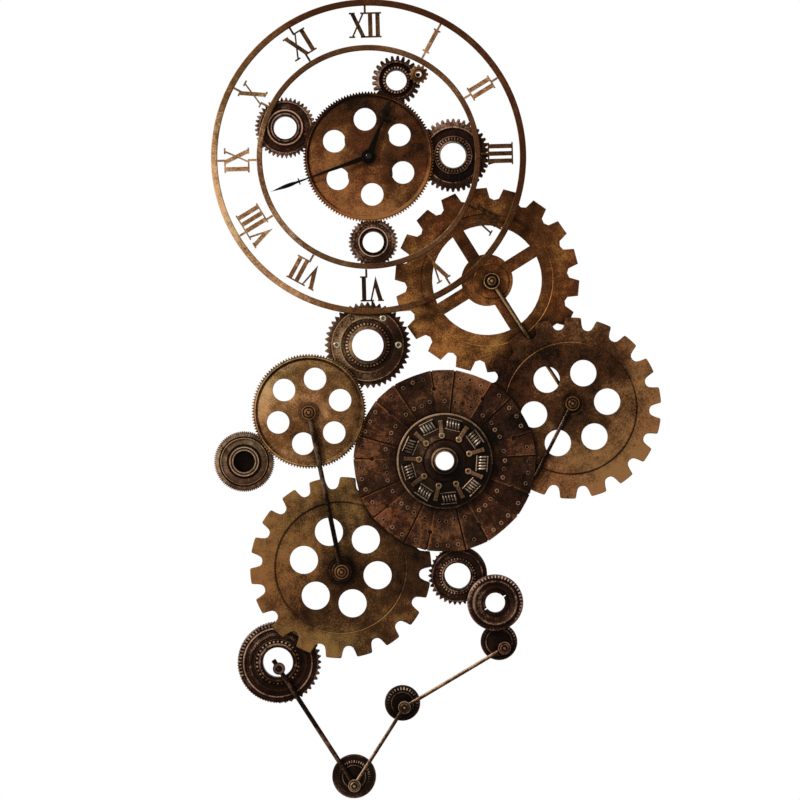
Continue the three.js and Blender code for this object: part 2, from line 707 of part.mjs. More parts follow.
let hubSolid = turned([
  [hub.bore, 0], [hub.tube, 0], [hub.tube, hubBack + seatGap], [hub.radius, hubBack + seatGap],
  [hub.radius, hubFront + hub.edgeRise], [hub.radius - hub.edge, hubFront + hub.edgeRise],
  [hub.radius - hub.edge, hubFront], [hub.dish, hubFront], [hub.dish, hubFront - hub.dishDepth],
  [hub.tube, hubFront - hub.dishDepth], [hub.tube, hubFront + hubTubeRise],
  [hub.bore, hubFront + hubTubeRise], [hub.bore, 0],
], sides.hub);
const springWindow = plate(box(springs.windowWidth, springs.windowLength), 2 * hub.plate);
const spring = coilSolid().rotate(0, 0, 90);
const strap = plate(box(straps.outer - straps.inner, straps.width), straps.rise + hub.dishDepth);
for (let index = 0; index < springs.count; index += 1) {
  const place = springs.start + index * 360 / springs.count;
  const opening = springWindow.translate(springs.circle, 0, hubBack - seatGap);
  hubSolid = hubSolid.subtract(opening.rotate(0, 0, place));
}
for (let index = 0; index < springs.count; index += 1) {
  const place = springs.start + index * 360 / springs.count;
  const strapPlace = straps.start + index * 360 / springs.count;
  const strapMiddle = (straps.outer + straps.inner) / 2;
  const placedSpring = spring.translate(springs.circle, 0, coilDepth);
  const placedStrap = strap.translate(strapMiddle, 0, hubFront - hub.dishDepth);
  hubSolid = hubSolid.add(placedSpring.rotate(0, 0, place)).add(placedStrap.rotate(0, 0, strapPlace));
}
piece('disc_hub', hubSolid, discSteel, discAt, discBack);

// Dog gear behind the disc: its toothed part lies behind the lower left gear, its collar beside it
const dogBack = wallStandoff / 2;
const dogRim = plate(addHole(gearOutline(dogGear, pointedTooth), dogGear.bore), lowFront - dogBack);
const dogFront = plateFront - dogBack;
const dogBody = turned([
  [dogGear.bore, 0], [dogCollar, 0], [dogCollar, dogFront], [dogGear.recess, dogFront],
  [dogGear.recess, dogFront - recessDepth], [dogGear.ring, dogFront - recessDepth],
  [dogGear.ring, dogFront], [dogGear.bore, dogFront], [dogGear.bore, 0],
], sides.collar);
piece('dog_gear', dogRim.add(dogBody), darkSteel, dogAt, dogBack);

// Keyed wheel in front of the dog gear and the end wheel
const keyed = keyedWheel;
const keyedBody = turned([
  [keyed.bore, 0], [keyed.radius, 0], [keyed.radius, keyed.length - recessDepth],
  [keyed.lip + keyed.lipWidth, keyed.length - recessDepth], [keyed.lip, keyed.length],
  [keyed.lip - keyed.lipWidth, keyed.length - recessDepth], [keyed.bore, keyed.length - recessDepth],
  [keyed.bore, 0],
], sides.gear);
const keySlot = plate(box(2 * (keyed.bore + keyway.depth), keyway.width), 2 * keyed.length);
const keyedSolid = keyedBody.subtract(keySlot.rotate(0, 0, keyway.turn));
piece('keyed_wheel', keyedSolid, darkSteel, keyedAt, discBack);

// Corner gear behind the lower left gear, resting on the wall
piece('corner_gear', gearboxGear(cornerGear, lowFront, pointedTooth), darkSteel, cornerAt, 0);

// Small bolted wheels at the foot of the clock, and the rods that link them
const cornerRodBack = lowFront + seatGap;
const lowRodBack = cornerRodBack + linkRod + seatGap;
const endRodBack = lowRodBack + linkRod + seatGap;
const smallWheelBack = lowFront - lowWheel.length;
piece('low_wheel', boltedWheel(lowWheel, boltOffset.low, 0), darkSteel, lowAt, smallWheelBack);
const midBack = lowFront - midWheel.length;
const midSolid = boltedWheel(midWheel, boltOffset.mid, lowRodBack - seatGap - lowFront);
piece('mid_wheel', midSolid, darkSteel, midAt, midBack);
const endBack = plateFront - endWheel.length;
const endSolid = boltedWheel(endWheel, boltOffset.end, endRodBack - seatGap - plateFront);
piece('end_wheel', endSolid, darkSteel, endAt, endBack);

// A flat rod from one bolt to another, with a round eye at each end
function rodShape(from, to, { nearHole = true, farHole = true, stub = 0 } = {}) {
  const length = spacing(from, to);
  const open = Math.asin(rodWidth / 2 / rodEye);
  const shape = new THREE.Shape();
  shape.absarc(length, 0, rodEye, Math.PI + open, 3 * Math.PI - open, false);
  if (stub > 0) {
    shape.absarc(0, 0, rodEye, open, Math.PI - open, false);
    shape.lineTo(-rodEye - stub, rodWidth / 2);
    shape.lineTo(-rodEye - stub, -rodWidth / 2);
    shape.absarc(0, 0, rodEye, Math.PI + open, 2 * Math.PI - open, false);
  } else {
    shape.absarc(0, 0, rodEye, open, 2 * Math.PI - open, false);
  }
  if (nearHole) {
    addHole(shape, boltShank + boltFit);
  }
  if (farHole) {
    addHole(shape, boltShank + boltFit, [length, 0]);
  }
  return shape;
}

function rod(name, from, to, thickness, depth, material, ends) {
  const solid = plate(rodShape(from, to, ends), thickness, arcs.shank);
  piece(name, solid, material, from, depth, bearing(from, to));
}

rod('left_rod', leftBoltAt, lowerBoltAt, linkRod, topRodBack, darkSteel);
rod('back_rod', spokeBoltAt, rightBoltAt, backRod, backRodBack, copperRod);
const cornerEnds = { nearHole: false, stub: rodStub };
rod('corner_rod', cornerEyeAt, lowBoltAt, linkRod, cornerRodBack, darkSteel, cornerEnds);
rod('low_rod', lowBoltAt, midBoltAt, linkRod, lowRodBack, copperRod);
rod('end_rod', midBoltAt, endBoltAt, linkRod, endRodBack, copperRod);

// The rod from the right gear ends on the rim of the disc, cut to its curve
const discRodEnd = polar(discRodReach, discRodAngle, rightBoltAt);
const discRodShape = rodShape(rightBoltAt, discRodEnd, { farHole: false });
const discRodBlank = plate(discRodShape, facingPlate, arcs.bore);
const discRodTurn = bearing(rightBoltAt, discRodEnd);
const discFromRod = [discAt[0] - rightBoltAt[0], discAt[1] - rightBoltAt[1]];
const discRoom = plate(disk(disc.radius + seatGap), facingPlate + 2 * seatGap, arcs.relief);
const discSpace = discRoom.translate(...discFromRod, -seatGap);
const discRod = discRodBlank.rotate(0, 0, discRodTurn).subtract(discSpace);
const discRodNear = discRod.decompose().find((part) => part.boundingBox().max[1] > 0);
piece('disc_rod', discRodNear, darkSteel, rightBoltAt, discBack);

// Through bolts: a shank with a washer and a round cap nut at the front
function bolt(name, at, back, seat, washer = washerRadius) {
  const washerFront = seat - back + boltWasher;
  const top = washerFront + boltNut.height;
  const profile = [
    [0, 0], [boltShank, 0], [boltShank, seat - back], [washer, seat - back], [washer, washerFront],
    [boltNut.radius, washerFront], [boltNut.radius, (washerFront + top) / 2], [0, top],
  ];
  piece(name, turned(profile, sides.bolt), boltBronze, at, back);
}

function spacer(name, at, back, front, radius) {
  const shape = addHole(disk(radius), boltShank + boltFit);
  piece(name, plate(shape, front - back), boltBronze, at, back);
}

spacer('lower_spacer', lowerBoltAt, plateFront + seatGap, topRodBack - seatGap, hubWasher.left);
bolt('left_bolt', leftBoltAt, dialBack, topRodBack + linkRod + seatGap);
bolt('lower_bolt', lowerBoltAt, plateBack, topRodBack + linkRod + seatGap);
bolt('spoke_bolt', spokeBoltAt, wallStandoff, backRodBack + backRod + seatGap, hubWasher.right);
bolt('right_bolt', rightBoltAt, backRodBack, discFront + seatGap);
bolt('low_bolt', lowBoltAt, smallWheelBack, endRodBack);
bolt('mid_bolt', midBoltAt, midBack, endRodBack + linkRod + seatGap);
bolt('end_bolt', endBoltAt, endBack, endRodBack + linkRod + seatGap);

// Hands: a blade that narrows to a neck, a cross-piece, and a leaf shaped tip
function handSolid({ length, hub: hubRadius, root, neck, neckAt, crossAt, crossHalf, leaf }, bore) {
  const leafAt = (neckAt + length) / 2;
  const half = [[0, root], [neckAt, neck], [leafAt, leaf], [length, 0]];
  const lower = half.slice(0, -1).reverse().map(([x, y]) => [x, -y]);
  const blade = plate(outline([...half, ...lower]), handSheet);
  const cross = plate(box(crossWidth, 2 * crossHalf), handSheet).translate(crossAt, 0, 0);
  const eye = plate(disk(hubRadius), handSheet, arcs.eye);
  const hole = plate(disk(bore), 3 * handSheet, arcs.shank).translate(0, 0, -handSheet);
  return joined([blade, cross, eye]).subtract(hole);
}

const bushingTop = boxFront + bushing.rise;
const hourBack = bushingTop + seatGap;
const minuteBack = hourBack + handSheet + handSpacing;
const minuteTop = minuteBack + handSheet;
const hourTubeTop = minuteBack - seatGap;
const hourSolid = handSolid(hourHand, hourTube.radius + runningFit);
piece('hour_hand', hourSolid, handBlack, dialAxis, hourBack, 90 - hourAngle);
const minuteSolid = handSolid(minuteHand, minuteArbor.radius + runningFit);
piece('minute_hand', minuteSolid, handBlack, dialAxis, minuteBack, 90 - minuteAngle);

// Quartz movement, drawn about the hands' axis with the cell along its lower side
const caseBack = boxFront - movementDepth;
const coverBack = caseBack - seatGap - coverThickness;
const cavityFloor = caseBack + movementDepth - movementWall;
const hourWheelFront = cavityFloor - seatGap;
const hourWheelBack = hourWheelFront - hourTube.wheelThickness;
const settingWheelFront = hourWheelBack - wheelGap;
const settingWheelBack = settingWheelFront - minuteArbor.pinionLength;
const bayHalf = cell.radius + cellFit;
const cavityTop = movementSide / 2 - movementWall;
const cavityBottom = -cellOffset + bayHalf + movementWall;

function roundedBox(width, height, radius) {
  const shape = new THREE.Shape();
  const x = width / 2 - radius;
  const y = height / 2 - radius;
  shape.absarc(x, y, radius, 0, Math.PI / 2);
  shape.absarc(-x, y, radius, Math.PI / 2, Math.PI);
  shape.absarc(-x, -y, radius, Math.PI, 1.5 * Math.PI);
  shape.absarc(x, -y, radius, 1.5 * Math.PI, 2 * Math.PI);
  return shape;
}

const cavityWidth = movementSide - 2 * movementWall;
const cavity = plate(box(cavityWidth, cavityTop - cavityBottom), movementDepth);
const cavityMiddle = (cavityTop + cavityBottom) / 2;
const bayLength = cell.length + cell.buttonLength + 2 * cellFit;
const bay = plate(box(bayLength, 2 * bayHalf), movementDepth);
const shaftHole = plate(disk(hourTube.radius + runningFit), movementDepth + 2 * bushing.rise, arcs.bore);
const caseShape = roundedBox(movementSide, movementSide, movementCorner);
const caseSolid = plate(caseShape, movementDepth, arcs.corner)
  .add(plate(disk(bushing.radius), movementDepth + bushing.rise, arcs.eye))
  .subtract(cavity.translate(0, cavityMiddle, -movementWall))
  .subtract(bay.translate(0, -cellOffset, -movementWall))
  .subtract(shaftHole.translate(0, 0, movementWall));
piece('movement_case', caseSolid, caseBlack, dialAxis, caseBack, movementTurn);

const coverTop = movementSide / 2;
const coverShape = bar(-movementSide / 2, movementSide / 2, cavityBottom - movementWall, coverTop);
addHole(coverShape, settingShaft + runningFit, [0, settingOffset]);
const coverSolid = plate(coverShape, coverThickness, arcs.bore);
piece('movement_cover', coverSolid, caseBlack, dialAxis, coverBack, movementTurn);

const cellHalf = (cell.length + cell.buttonLength) / 2;
const cellSolid = turned([
  [0, -cellHalf], [cell.radius, -cellHalf], [cell.radius, cellHalf - cell.buttonLength],
  [cell.buttonRadius, cellHalf - cell.buttonLength], [cell.buttonRadius, cellHalf], [0, cellHalf],
], sides.shaft).rotate(0, 90, 0);
const cellPlace = polar(cellOffset, movementTurn - 90);
piece('battery_cell', cellSolid, cellWrap, cellPlace, cavityFloor - cellFit - cell.radius, movementTurn);

const nutCorner = shaftNut.flats / Math.sqrt(3);
const nutShape = outline([0, 1, 2, 3, 4, 5].map((corner) => polar(nutCorner, 60 * corner)));
addHole(nutShape, bushing.radius + boltFit);
piece('shaft_nut', plate(nutShape, shaftNut.height, arcs.eye), brass, dialAxis, webFront + seatGap);

const tubeBore = minuteArbor.radius + runningFit;
const hourTubeSolid = turned([
  [tubeBore, hourWheelBack], [hourTube.wheel, hourWheelBack], [hourTube.wheel, hourWheelFront],
  [hourTube.radius, hourWheelFront], [hourTube.radius, hourTubeTop], [tubeBore, hourTubeTop],
  [tubeBore, hourWheelBack],
], sides.sleeve);
piece('hour_wheel', hourTubeSolid, brass, dialAxis, 0);

const arborTop = minuteTop + handNut.height - handNut.cover;
const arborSolid = turned([
  [0, settingWheelBack], [minuteArbor.pinion, settingWheelBack], [minuteArbor.pinion, settingWheelFront],
  [minuteArbor.radius, settingWheelFront], [minuteArbor.radius, arborTop], [0, arborTop],
], sides.shaft);
piece('minute_arbor', arborSolid, brass, dialAxis, 0);

const nutBase = minuteTop + seatGap;
const nutBore = minuteArbor.radius + runningFit;
const capNut = turned([
  [nutBore, nutBase], [handNut.radius, nutBase], [handNut.radius, nutBase + handNut.height / 2],
  [0, nutBase + handNut.height + handNut.dome], [0, arborTop + seatGap], [nutBore, arborTop + seatGap],
  [nutBore, nutBase],
], sides.shaft);
piece('hand_nut', capNut, brass, dialAxis, 0);

const settingWheel = settingOffset - minuteArbor.pinion - meshFit;
const settingPinion = settingOffset - hourTube.wheel - meshFit;
const knobFront = coverBack - seatGap;
const settingSolid = turned([
  [0, knobFront - settingKnob.length], [settingKnob.radius, knobFront - settingKnob.length],
  [settingKnob.radius, knobFront], [settingShaft, knobFront], [settingShaft, settingWheelBack],
  [settingWheel, settingWheelBack], [settingWheel, settingWheelFront], [settingPinion, settingWheelFront],
  [settingPinion, hourWheelFront], [0, hourWheelFront],
], sides.sleeve);
piece('setting_knob', settingSolid, knobWhite, polar(settingOffset, movementTurn + 90), 0);

// Hanger plates: a keystone of sheet with a keyhole, held off a gear's back by two posts
function hangerSolid(inner, outer, degrees, postTop) {
  const start = radians(degrees - hangerHalfAngle);
  const end = radians(degrees + hangerHalfAngle);
  const shape = new THREE.Shape();
  shape.absarc(0, 0, outer, start, end, false);
  shape.absarc(0, 0, inner, end, start, true);
  const head = polar(inner + keyholeInset, degrees);
  const keyhole = plate(disk(keyholeHead), 3 * hangerSheet, arcs.spoke)
    .add(plate(box(2 * keyholeSlot, 2 * keyholeRun), 3 * hangerSheet).translate(0, keyholeRun / 2, 0))
    .translate(...head, -hangerSheet);
  const posts = [-hangerPostSpread, hangerPostSpread].map((spread) => {
    const place = polar(outer - hangerPostInset, degrees + spread);
    return plate(disk(hangerPost), postTop, arcs.shank).translate(...place, 0);
  });
  return joined([plate(shape, hangerSheet, arcs.shank).subtract(keyhole), ...posts]);
}

piece('dial_hanger', hangerSolid(hangerInner, hangerOuter, hangerAngle, boxFront), darkSteel, dialAxis, 0);
const rightHanger = hangerSolid(rightHangerInner, rightHangerOuter, rightHangerAngle, lowFront);
piece('right_hanger', rightHanger, darkSteel, rightAt, 0);

// The reference point is on the back of the dial hanger, where it lies on the wall
const reference = polar(hangerOuter - hangerMountInset, hangerAngle);
const stand = new THREE.Group();
clock.position.set(-reference[0], -reference[1], 0);
stand.add(clock);
stand.rotation.x = Math.PI / 2;
stand.updateMatrixWorld(true);

export default stand;
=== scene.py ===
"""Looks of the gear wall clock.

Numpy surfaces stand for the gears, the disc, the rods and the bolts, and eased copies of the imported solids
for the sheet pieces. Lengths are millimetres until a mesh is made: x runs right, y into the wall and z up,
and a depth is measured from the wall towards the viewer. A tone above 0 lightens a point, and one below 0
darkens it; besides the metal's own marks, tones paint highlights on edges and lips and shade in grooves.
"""

import json
import logging
import math
from collections.abc import Sequence
from dataclasses import dataclass, replace
from enum import Enum
from typing import NamedTuple

import bmesh
import bpy
import numpy as np
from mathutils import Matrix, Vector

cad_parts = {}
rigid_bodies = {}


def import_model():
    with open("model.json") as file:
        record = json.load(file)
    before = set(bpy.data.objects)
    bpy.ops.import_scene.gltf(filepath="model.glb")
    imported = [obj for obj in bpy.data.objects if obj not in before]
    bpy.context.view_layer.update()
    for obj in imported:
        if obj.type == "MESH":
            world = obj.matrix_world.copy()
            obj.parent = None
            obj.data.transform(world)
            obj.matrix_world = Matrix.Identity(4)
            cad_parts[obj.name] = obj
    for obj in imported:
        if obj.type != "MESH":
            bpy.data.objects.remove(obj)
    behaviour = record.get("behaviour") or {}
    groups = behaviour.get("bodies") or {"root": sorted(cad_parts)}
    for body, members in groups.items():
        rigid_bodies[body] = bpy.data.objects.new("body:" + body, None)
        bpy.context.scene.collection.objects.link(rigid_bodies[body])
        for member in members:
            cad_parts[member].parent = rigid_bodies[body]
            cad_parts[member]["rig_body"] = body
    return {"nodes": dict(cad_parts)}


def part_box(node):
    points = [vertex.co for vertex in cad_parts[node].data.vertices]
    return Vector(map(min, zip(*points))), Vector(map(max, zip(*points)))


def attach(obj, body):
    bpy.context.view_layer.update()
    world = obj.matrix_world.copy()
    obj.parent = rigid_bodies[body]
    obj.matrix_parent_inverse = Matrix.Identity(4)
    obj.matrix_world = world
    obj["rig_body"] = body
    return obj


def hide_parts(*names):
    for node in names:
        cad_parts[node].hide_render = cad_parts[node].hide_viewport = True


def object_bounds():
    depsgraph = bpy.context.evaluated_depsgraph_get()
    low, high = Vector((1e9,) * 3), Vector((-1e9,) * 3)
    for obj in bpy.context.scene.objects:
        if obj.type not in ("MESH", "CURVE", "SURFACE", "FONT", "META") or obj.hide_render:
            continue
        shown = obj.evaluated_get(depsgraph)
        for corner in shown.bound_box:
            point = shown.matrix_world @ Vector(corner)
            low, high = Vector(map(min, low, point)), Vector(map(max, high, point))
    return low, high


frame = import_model()
cad_low, cad_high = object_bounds()

LOG = logging.getLogger("gear_clock")
MM = 0.001
MERGE = 0.002  # points closer than this are one point
SMOOTH_ANGLE = math.radians(32)
BEVEL_ANGLE = math.radians(40)
FLAT_ANGLE = math.radians(1)
LIT = math.radians(135)  # direction of the lit side, seen from the front
EASE = 0.35  # slope between neighbouring rings of a turned face
NOISE_DETAIL = (3.0, 3.0, 2.0)  # octaves of the blotches, the mottling and the grain
NOISE_WEIGHT = (1.0, 0.5, 0.7)  # their shares of a patina's spread
NOISE_ROUGHNESS = 0.52
SEED_WAY = (1.0, 0.37, -0.61)  # direction in which a seed shifts the noises
SHELTER_SAMPLES = 6
MIDDLE_TONE = 0.5
TINT_SCALE = 0.6  # tinted patches are wider than the blotches
TINT_EDGES = (0.38, 0.62)
MOTTLE_RANGE = (0.3, 0.7)
ROUGHNESS_SPAN = (-0.1, 0.12)
PIT_SHARE = 0.8
PIT_DEPTH = 0.5
SHEET_STEPS = (14, 30, 8)  # points along a sector's side, its outer arc and its inner arc
SHEET_ROWS = 6  # points from a hole's edge to its sector's outline
BEAD_STEPS = 7
BEAD_HEIGHT = 0.7  # a bead's height over half its width
BLOCK_GRID = (6, 12)  # points over a rounded block, from its back to its front and round it
DOG_FILL = 0.5  # a dog's share of the pitch

Socket = bpy.types.NodeSocket
Tree = bpy.types.NodeTree
Corner = tuple[float, ...]  # radius and depth, then tone, share of the teeth and inset where they aren't 0
Profile = tuple[Corner, ...]
# The eyelet's tones paint a highlight on its ring and shade in its sunken middle.
EYELET: Profile = ((0.0, -1.0), (1.0, -1.0), (1.0, 0.3, 0.1), (0.82, 0.8, 0.35), (0.6, 0.8, 0.35),
                   (0.42, 0.2, -0.4), (0.0, 0.3, -0.2))  # shares of the radius, rises and tones


class Edge(Enum):
    """How far a cut edge is eased, in millimetres."""

    CRISP = 0.3
    EASED = 0.6
    BROKEN = 1.0


class ToothForm(Enum):
    """Half of a tooth, from its middle to the gap's middle: shares of the pitch and of the height."""

    POINTED = ((0.0, 1.0), (0.08, 1.0), (0.42, 0.0), (0.5, 0.0))
    STRAIGHT = ((0.0, 1.0), (0.15, 1.0), (0.2, 0.9), (0.38, 0.08), (0.5, 0.0))
    PLATE = ((0.0, 1.0), (0.21, 1.0), (0.245, 0.96), (0.26, 0.85), (0.29, 0.5), (0.335, 0.2), (0.4, 0.05),
             (0.5, 0.0))


class PlateTone(Enum):
    """Tones of the riveted plates."""

    SOOTY = -0.2
    PLAIN = 0.0
    WARM = 0.12
    RED = 0.2


SOOTY, PLAIN, WARM, RED = PlateTone
POINTED, STRAIGHT, PLATE = ToothForm


class Step(NamedTuple):
    """A corner of a turned section: radius, depth, tone, share of the teeth and inset from their outline."""

    radius: float
    depth: float
    tone: float = 0.0
    share: float = 0.0
    inset: float = 0.0


class Band(NamedTuple):
    """A flat ring on a gear's face: inner radius, drop below the front, and tone."""

    inner: float
    drop: float
    tone: float


class Holes(NamedTuple):
    """A circle of round holes: how many, their radius, the circle's radius and the first one's direction."""

    count: int
    radius: float
    circle: float
    start: float


@dataclass(frozen=True)
class Seat:
    """Where a node sits: its axis seen from the front, its depths and its half width."""

    x: float = 0.0
    z: float = 0.0
    back: float = 0.0
    front: float = 0.0
    radius: float = 0.0

    @classmethod
    def of(cls, node: str) -> "Seat":
        """Read a node's seat from its box.

        Args:
            node: the node.

        Returns:
            Its seat in millimetres.
        """
        low, high = (np.array(corner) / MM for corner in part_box(node))
        middle = (low + high) / 2
        return cls(middle[0], middle[2], -high[1], -low[1], (high[0] - low[0]) / 2)

    def aside(self, across: float, up: float) -> "Seat":
        """Return the seat with its axis moved."""
        return replace(self, x=self.x + across, z=self.z + up)


ORIGIN = Seat()


def linear(code: str) -> tuple[float, float, float, float]:
    """Turn an sRGB hex colour into linear light by the standard's curve.

    Args:
        code: a colour such as "#6a4522".

    Returns:
        Red, green, blue and an alpha of one.
    """
    srgb = np.array([int(code[k:k + 2], 16) for k in (1, 3, 5)]) / 255
    light = np.where(srgb <= 0.04045, srgb / 12.92, ((srgb + 0.055) / 1.055) ** 2.4)
    return (float(light[0]), float(light[1]), float(light[2]), 1.0)


def add_node(tree: Tree, kind: str, inputs: dict, output: int | str = 0,
             **settings: str | int) -> Socket | None:
    """Add one node with its inputs and its settings.

    Args:
        tree: the tree that gets the node.
        kind: the node's type name.
        inputs: socket names or numbers, each with a value or with the output that feeds it.
        output: name or number of the wanted output.
        settings: the node's attributes.

    Returns:
        The wanted output, or None for a node without outputs.
    """
    node = tree.nodes.new(kind)
    for name, value in settings.items():
        setattr(node, name, value)
    for key, value in inputs.items():
        if isinstance(value, Socket):
            tree.links.new(value, node.inputs[key])
        else:
            node.inputs[key].default_value = value
    return node.outputs[output] if node.outputs else None


def add_ramp(tree: Tree, value: Socket,
             stops: Sequence[tuple[float, str]]) -> Socket:
    """Add a colour ramp.

    Args:
        tree: the tree that gets the ramp.
        value: the output that picks the colour.
        stops: places and hex colours, from the first to the last.

    Returns:
        The ramp's colour.
    """
    colour = add_node(tree, "ShaderNodeValToRGB", {"Fac": value}, "Color")
    elements = colour.node.color_ramp.elements
    for end in (0, -1):
        elements[end].position, elements[end].color = stops[end][0], linear(stops[end][1])
    for place, code in stops[1:-1]:
        elements.new(place).color = linear(code)
    return colour


@dataclass(frozen=True)
class Drift:
    """A slow change of tone across a node: lighter towards an angle seen from the front.

    It starts at a share of the reach, which is the node's half width where it is 0.
    """

    node: str
    angle: float
    strength: float
    start: float = -1.0
    reach: float = 0.0


@dataclass(frozen=True)
class Patina:
    """Metal under a rubbed patina.

    A tone picks a colour between dark, middle and light; it sums blotches, mottling and grain, grime and
    painted shade where the surface is sheltered, a drift, and the mesh's own tone. Wide patches tint that
    colour golden or reddish. Sizes of marks are in millimetres.
    """

    name: str
    dark: str
    middle: str
    light: str
    metallic: float = 0.4
    roughness: float = 0.44
    specular: float = 0.05
    blotch: float = 55.0
    mottle: float = 10.0
    grain: float = 1.8
    spread: float = 1.5
    # weight of the darkening where the surface is sheltered: grime and painted shade
    grime_and_shade: float = 0.6
    shelter: float = 12.0
    bump: float = 0.45
    seed: float = 0.0
    golden: str = "#f8fbec"
    reddish: str = "#ffecdf"
    drift: Drift | None = None

    def material(self) -> bpy.types.Material:
        """Build the node material, or return it if it is there.

        Returns:
            The material of this name.
        """
        found = bpy.data.materials.get(self.name)
        if found is not None:
            return found
        made = bpy.data.materials.new(self.name)
        made.use_nodes = True
        tree = made.node_tree
        tree.nodes.clear()
        place = add_node(tree, "ShaderNodeTexCoord", {}, "Object")
        shift = tuple(self.seed * way for way in SEED_WAY)
        moved = add_node(tree, "ShaderNodeVectorMath", {0: place, 1: shift}, operation="ADD")
        noises = []
        for size, detail in zip((self.blotch, self.mottle, self.grain), NOISE_DETAIL):
            marks = {"Vector": moved, "Scale": 1 / (size * MM), "Detail": detail,
                     "Roughness": NOISE_ROUGHNESS}
            noises.append(add_node(tree, "ShaderNodeTexNoise", marks, "Fac"))
        tone = self.tone(tree, place, noises)
        colour = add_ramp(tree, tone, ((0.0, self.dark), (MIDDLE_TONE, self.middle), (1.0, self.light)))
        wide = {"Vector": moved, "Scale": TINT_SCALE / (self.blotch * MM), "Detail": NOISE_DETAIL[0]}
        patch = add_node(tree, "ShaderNodeTexNoise", wide, "Fac")
        tint = add_ramp(tree, patch, tuple(zip(TINT_EDGES, (self.golden, self.reddish))))
        tinted = add_node(tree, "ShaderNodeVectorMath", {0: colour, 1: tint}, operation="MULTIPLY")
        rough = {"Value": noises[1], "From Min": MOTTLE_RANGE[0], "From Max": MOTTLE_RANGE[1]}
        rough |= {"To Min": self.roughness + ROUGHNESS_SPAN[0], "To Max": self.roughness + ROUGHNESS_SPAN[1]}
        worn = add_node(tree, "ShaderNodeMapRange", rough)
        pits = {0: noises[1], 1: PIT_SHARE, 2: noises[2]}
        height = add_node(tree, "ShaderNodeMath", pits, operation="MULTIPLY_ADD")
        relief = {"Height": height, "Strength": self.bump, "Distance": PIT_DEPTH * MM}
        normal = add_node(tree, "ShaderNodeBump", relief)
        surface = {"Base Color": tinted, "Roughness": worn, "Normal": normal}
        surface |= {"Metallic": self.metallic, "Specular IOR Level": self.specular}
        shader = add_node(tree, "ShaderNodeBsdfPrincipled", surface)
        add_node(tree, "ShaderNodeOutputMaterial", {"Surface": shader})
        return made

    def tone(self, tree: Tree, place: Socket,
             noises: Sequence[Socket]) -> Socket:
        """Sum noises, sheltered grime and painted shade, the mesh's tone and the drift, each times its
        weight.

        Args:
            tree: the material's tree.
            place: the point in object coordinates.
            noises: blotches, mottling and grain.

        Returns:
            The tone, 0 for dark and 1 for light.
        """
        # Ambient occlusion darkens corners and gaps between parts: grime and painted shade.
        reach = {"Distance": self.shelter * MM}
        open_sky = add_node(tree, "ShaderNodeAmbientOcclusion", reach, "AO", samples=SHELTER_SAMPLES)
        own = add_node(tree, "ShaderNodeAttribute", {}, "Fac", attribute_name="tone")
        weights = [share * self.spread for share in NOISE_WEIGHT]
        terms = [*zip(noises, weights), (open_sky, self.grime_and_shade), (own, 1.0)]
        if self.drift is not None:
            terms.append((self.slope(tree, place), self.drift.strength))
        tone: float | Socket = MIDDLE_TONE - sum(weights) / 2 - self.grime_and_shade
        for value, weight in terms:
            tone = add_node(tree, "ShaderNodeMath", {0: value, 1: weight, 2: tone}, operation="MULTIPLY_ADD")
        return tone

    def slope(self, tree: Tree, place: Socket) -> Socket:
        """The drift's share at a point: its distance from the node's axis along the angle, over the reach.

        Args:
            tree: the material's tree.
            place: the point in object coordinates.

        Returns:
            The share, -1 up to the drift's start and from there to 1 at the end of the reach.
        """
        seat, turn = Seat.of(self.drift.node), math.radians(self.drift.angle)
        middle = {0: place, 1: (seat.x * MM, 0, seat.z * MM)}
        aside = add_node(tree, "ShaderNodeVectorMath", middle, operation="SUBTRACT")
        reach = (self.drift.reach or seat.radius) * MM
        along = {0: aside, 1: (math.cos(turn) / reach, 0, math.sin(turn) / reach)}
        share = add_node(tree, "ShaderNodeVectorMath", along, "Value", operation="DOT_PRODUCT")
        span = {"Value": share, "From Min": self.drift.start, "From Max": 1.0, "To Min": -1.0, "To Max": 1.0}
        return add_node(tree, "ShaderNodeMapRange", span)


# Rolled steel plate under a bronze wash: warm brown, golden where it is rubbed, dark in the corners from
# grime and painted shade.
BRONZE = Patina("bronze_washed_plate", "#22130a", "#553419", "#9a6c38", grime_and_shade=1.0, shelter=14.0)
# The same wash rubbed back to bright metal along the edges, with a painted highlight there as well.
RUBBED_AND_LIT_EDGE = Patina("bronze_rubbed_lit_edge", "#3a2212", "#7a542c", "#c69a5e", metallic=0.75, roughness=0.36,
                grime_and_shade=0.4)
# Gear steel blackened in oil: nearly black, with a brown bloom and paler lips, worn and with painted
# highlights.
OILED = Patina("oil_blackened_steel", "#0c0604", "#2e1b11", "#b2907c", spread=1.2, grime_and_shade=0.5, shelter=8.0,
               golden="#fff8ee")
# Oil-blackened steel that handling has worn to brown.
WORN = Patina("oil_blackened_worn", "#120a06", "#4e3828", "#b89a78", spread=1.2, grime_and_shade=0.5, shelter=8.0)
# Oil-blackened steel polished by handling along its edges.
HANDLED = Patina("oil_blackened_edge", "#140c07", "#46321f", "#b0906a", metallic=0.7, roughness=0.38)
# Dog teeth left bright when the rest was blackened, slightly pink.
DOGS = Patina("bright_dog_teeth", "#1c100a", "#745643", "#dcc0a4", metallic=0.7, roughness=0.36, grime_and_shade=0.7)
# Knurled blocks that were blackened less than the gear: brown.
KNURL = replace(DOGS, name="brown_knurl", dark="#160c08", middle="#5a4236", light="#c4a896")
# Cut sheet steel with a tan bronze wash, chocolate where it has turned.
TAN = Patina("tan_washed_sheet", "#3e2110", "#6e4c2e", "#ceaa84", blotch=90.0, spread=1.3, grime_and_shade=0.2)
# Pressed steel under brown rust lacquer, with reddish blooms.
RUST = Patina("rust_lacquered_pressing", "#100805", "#382116", "#805236", blotch=34.0, mottle=7.0)
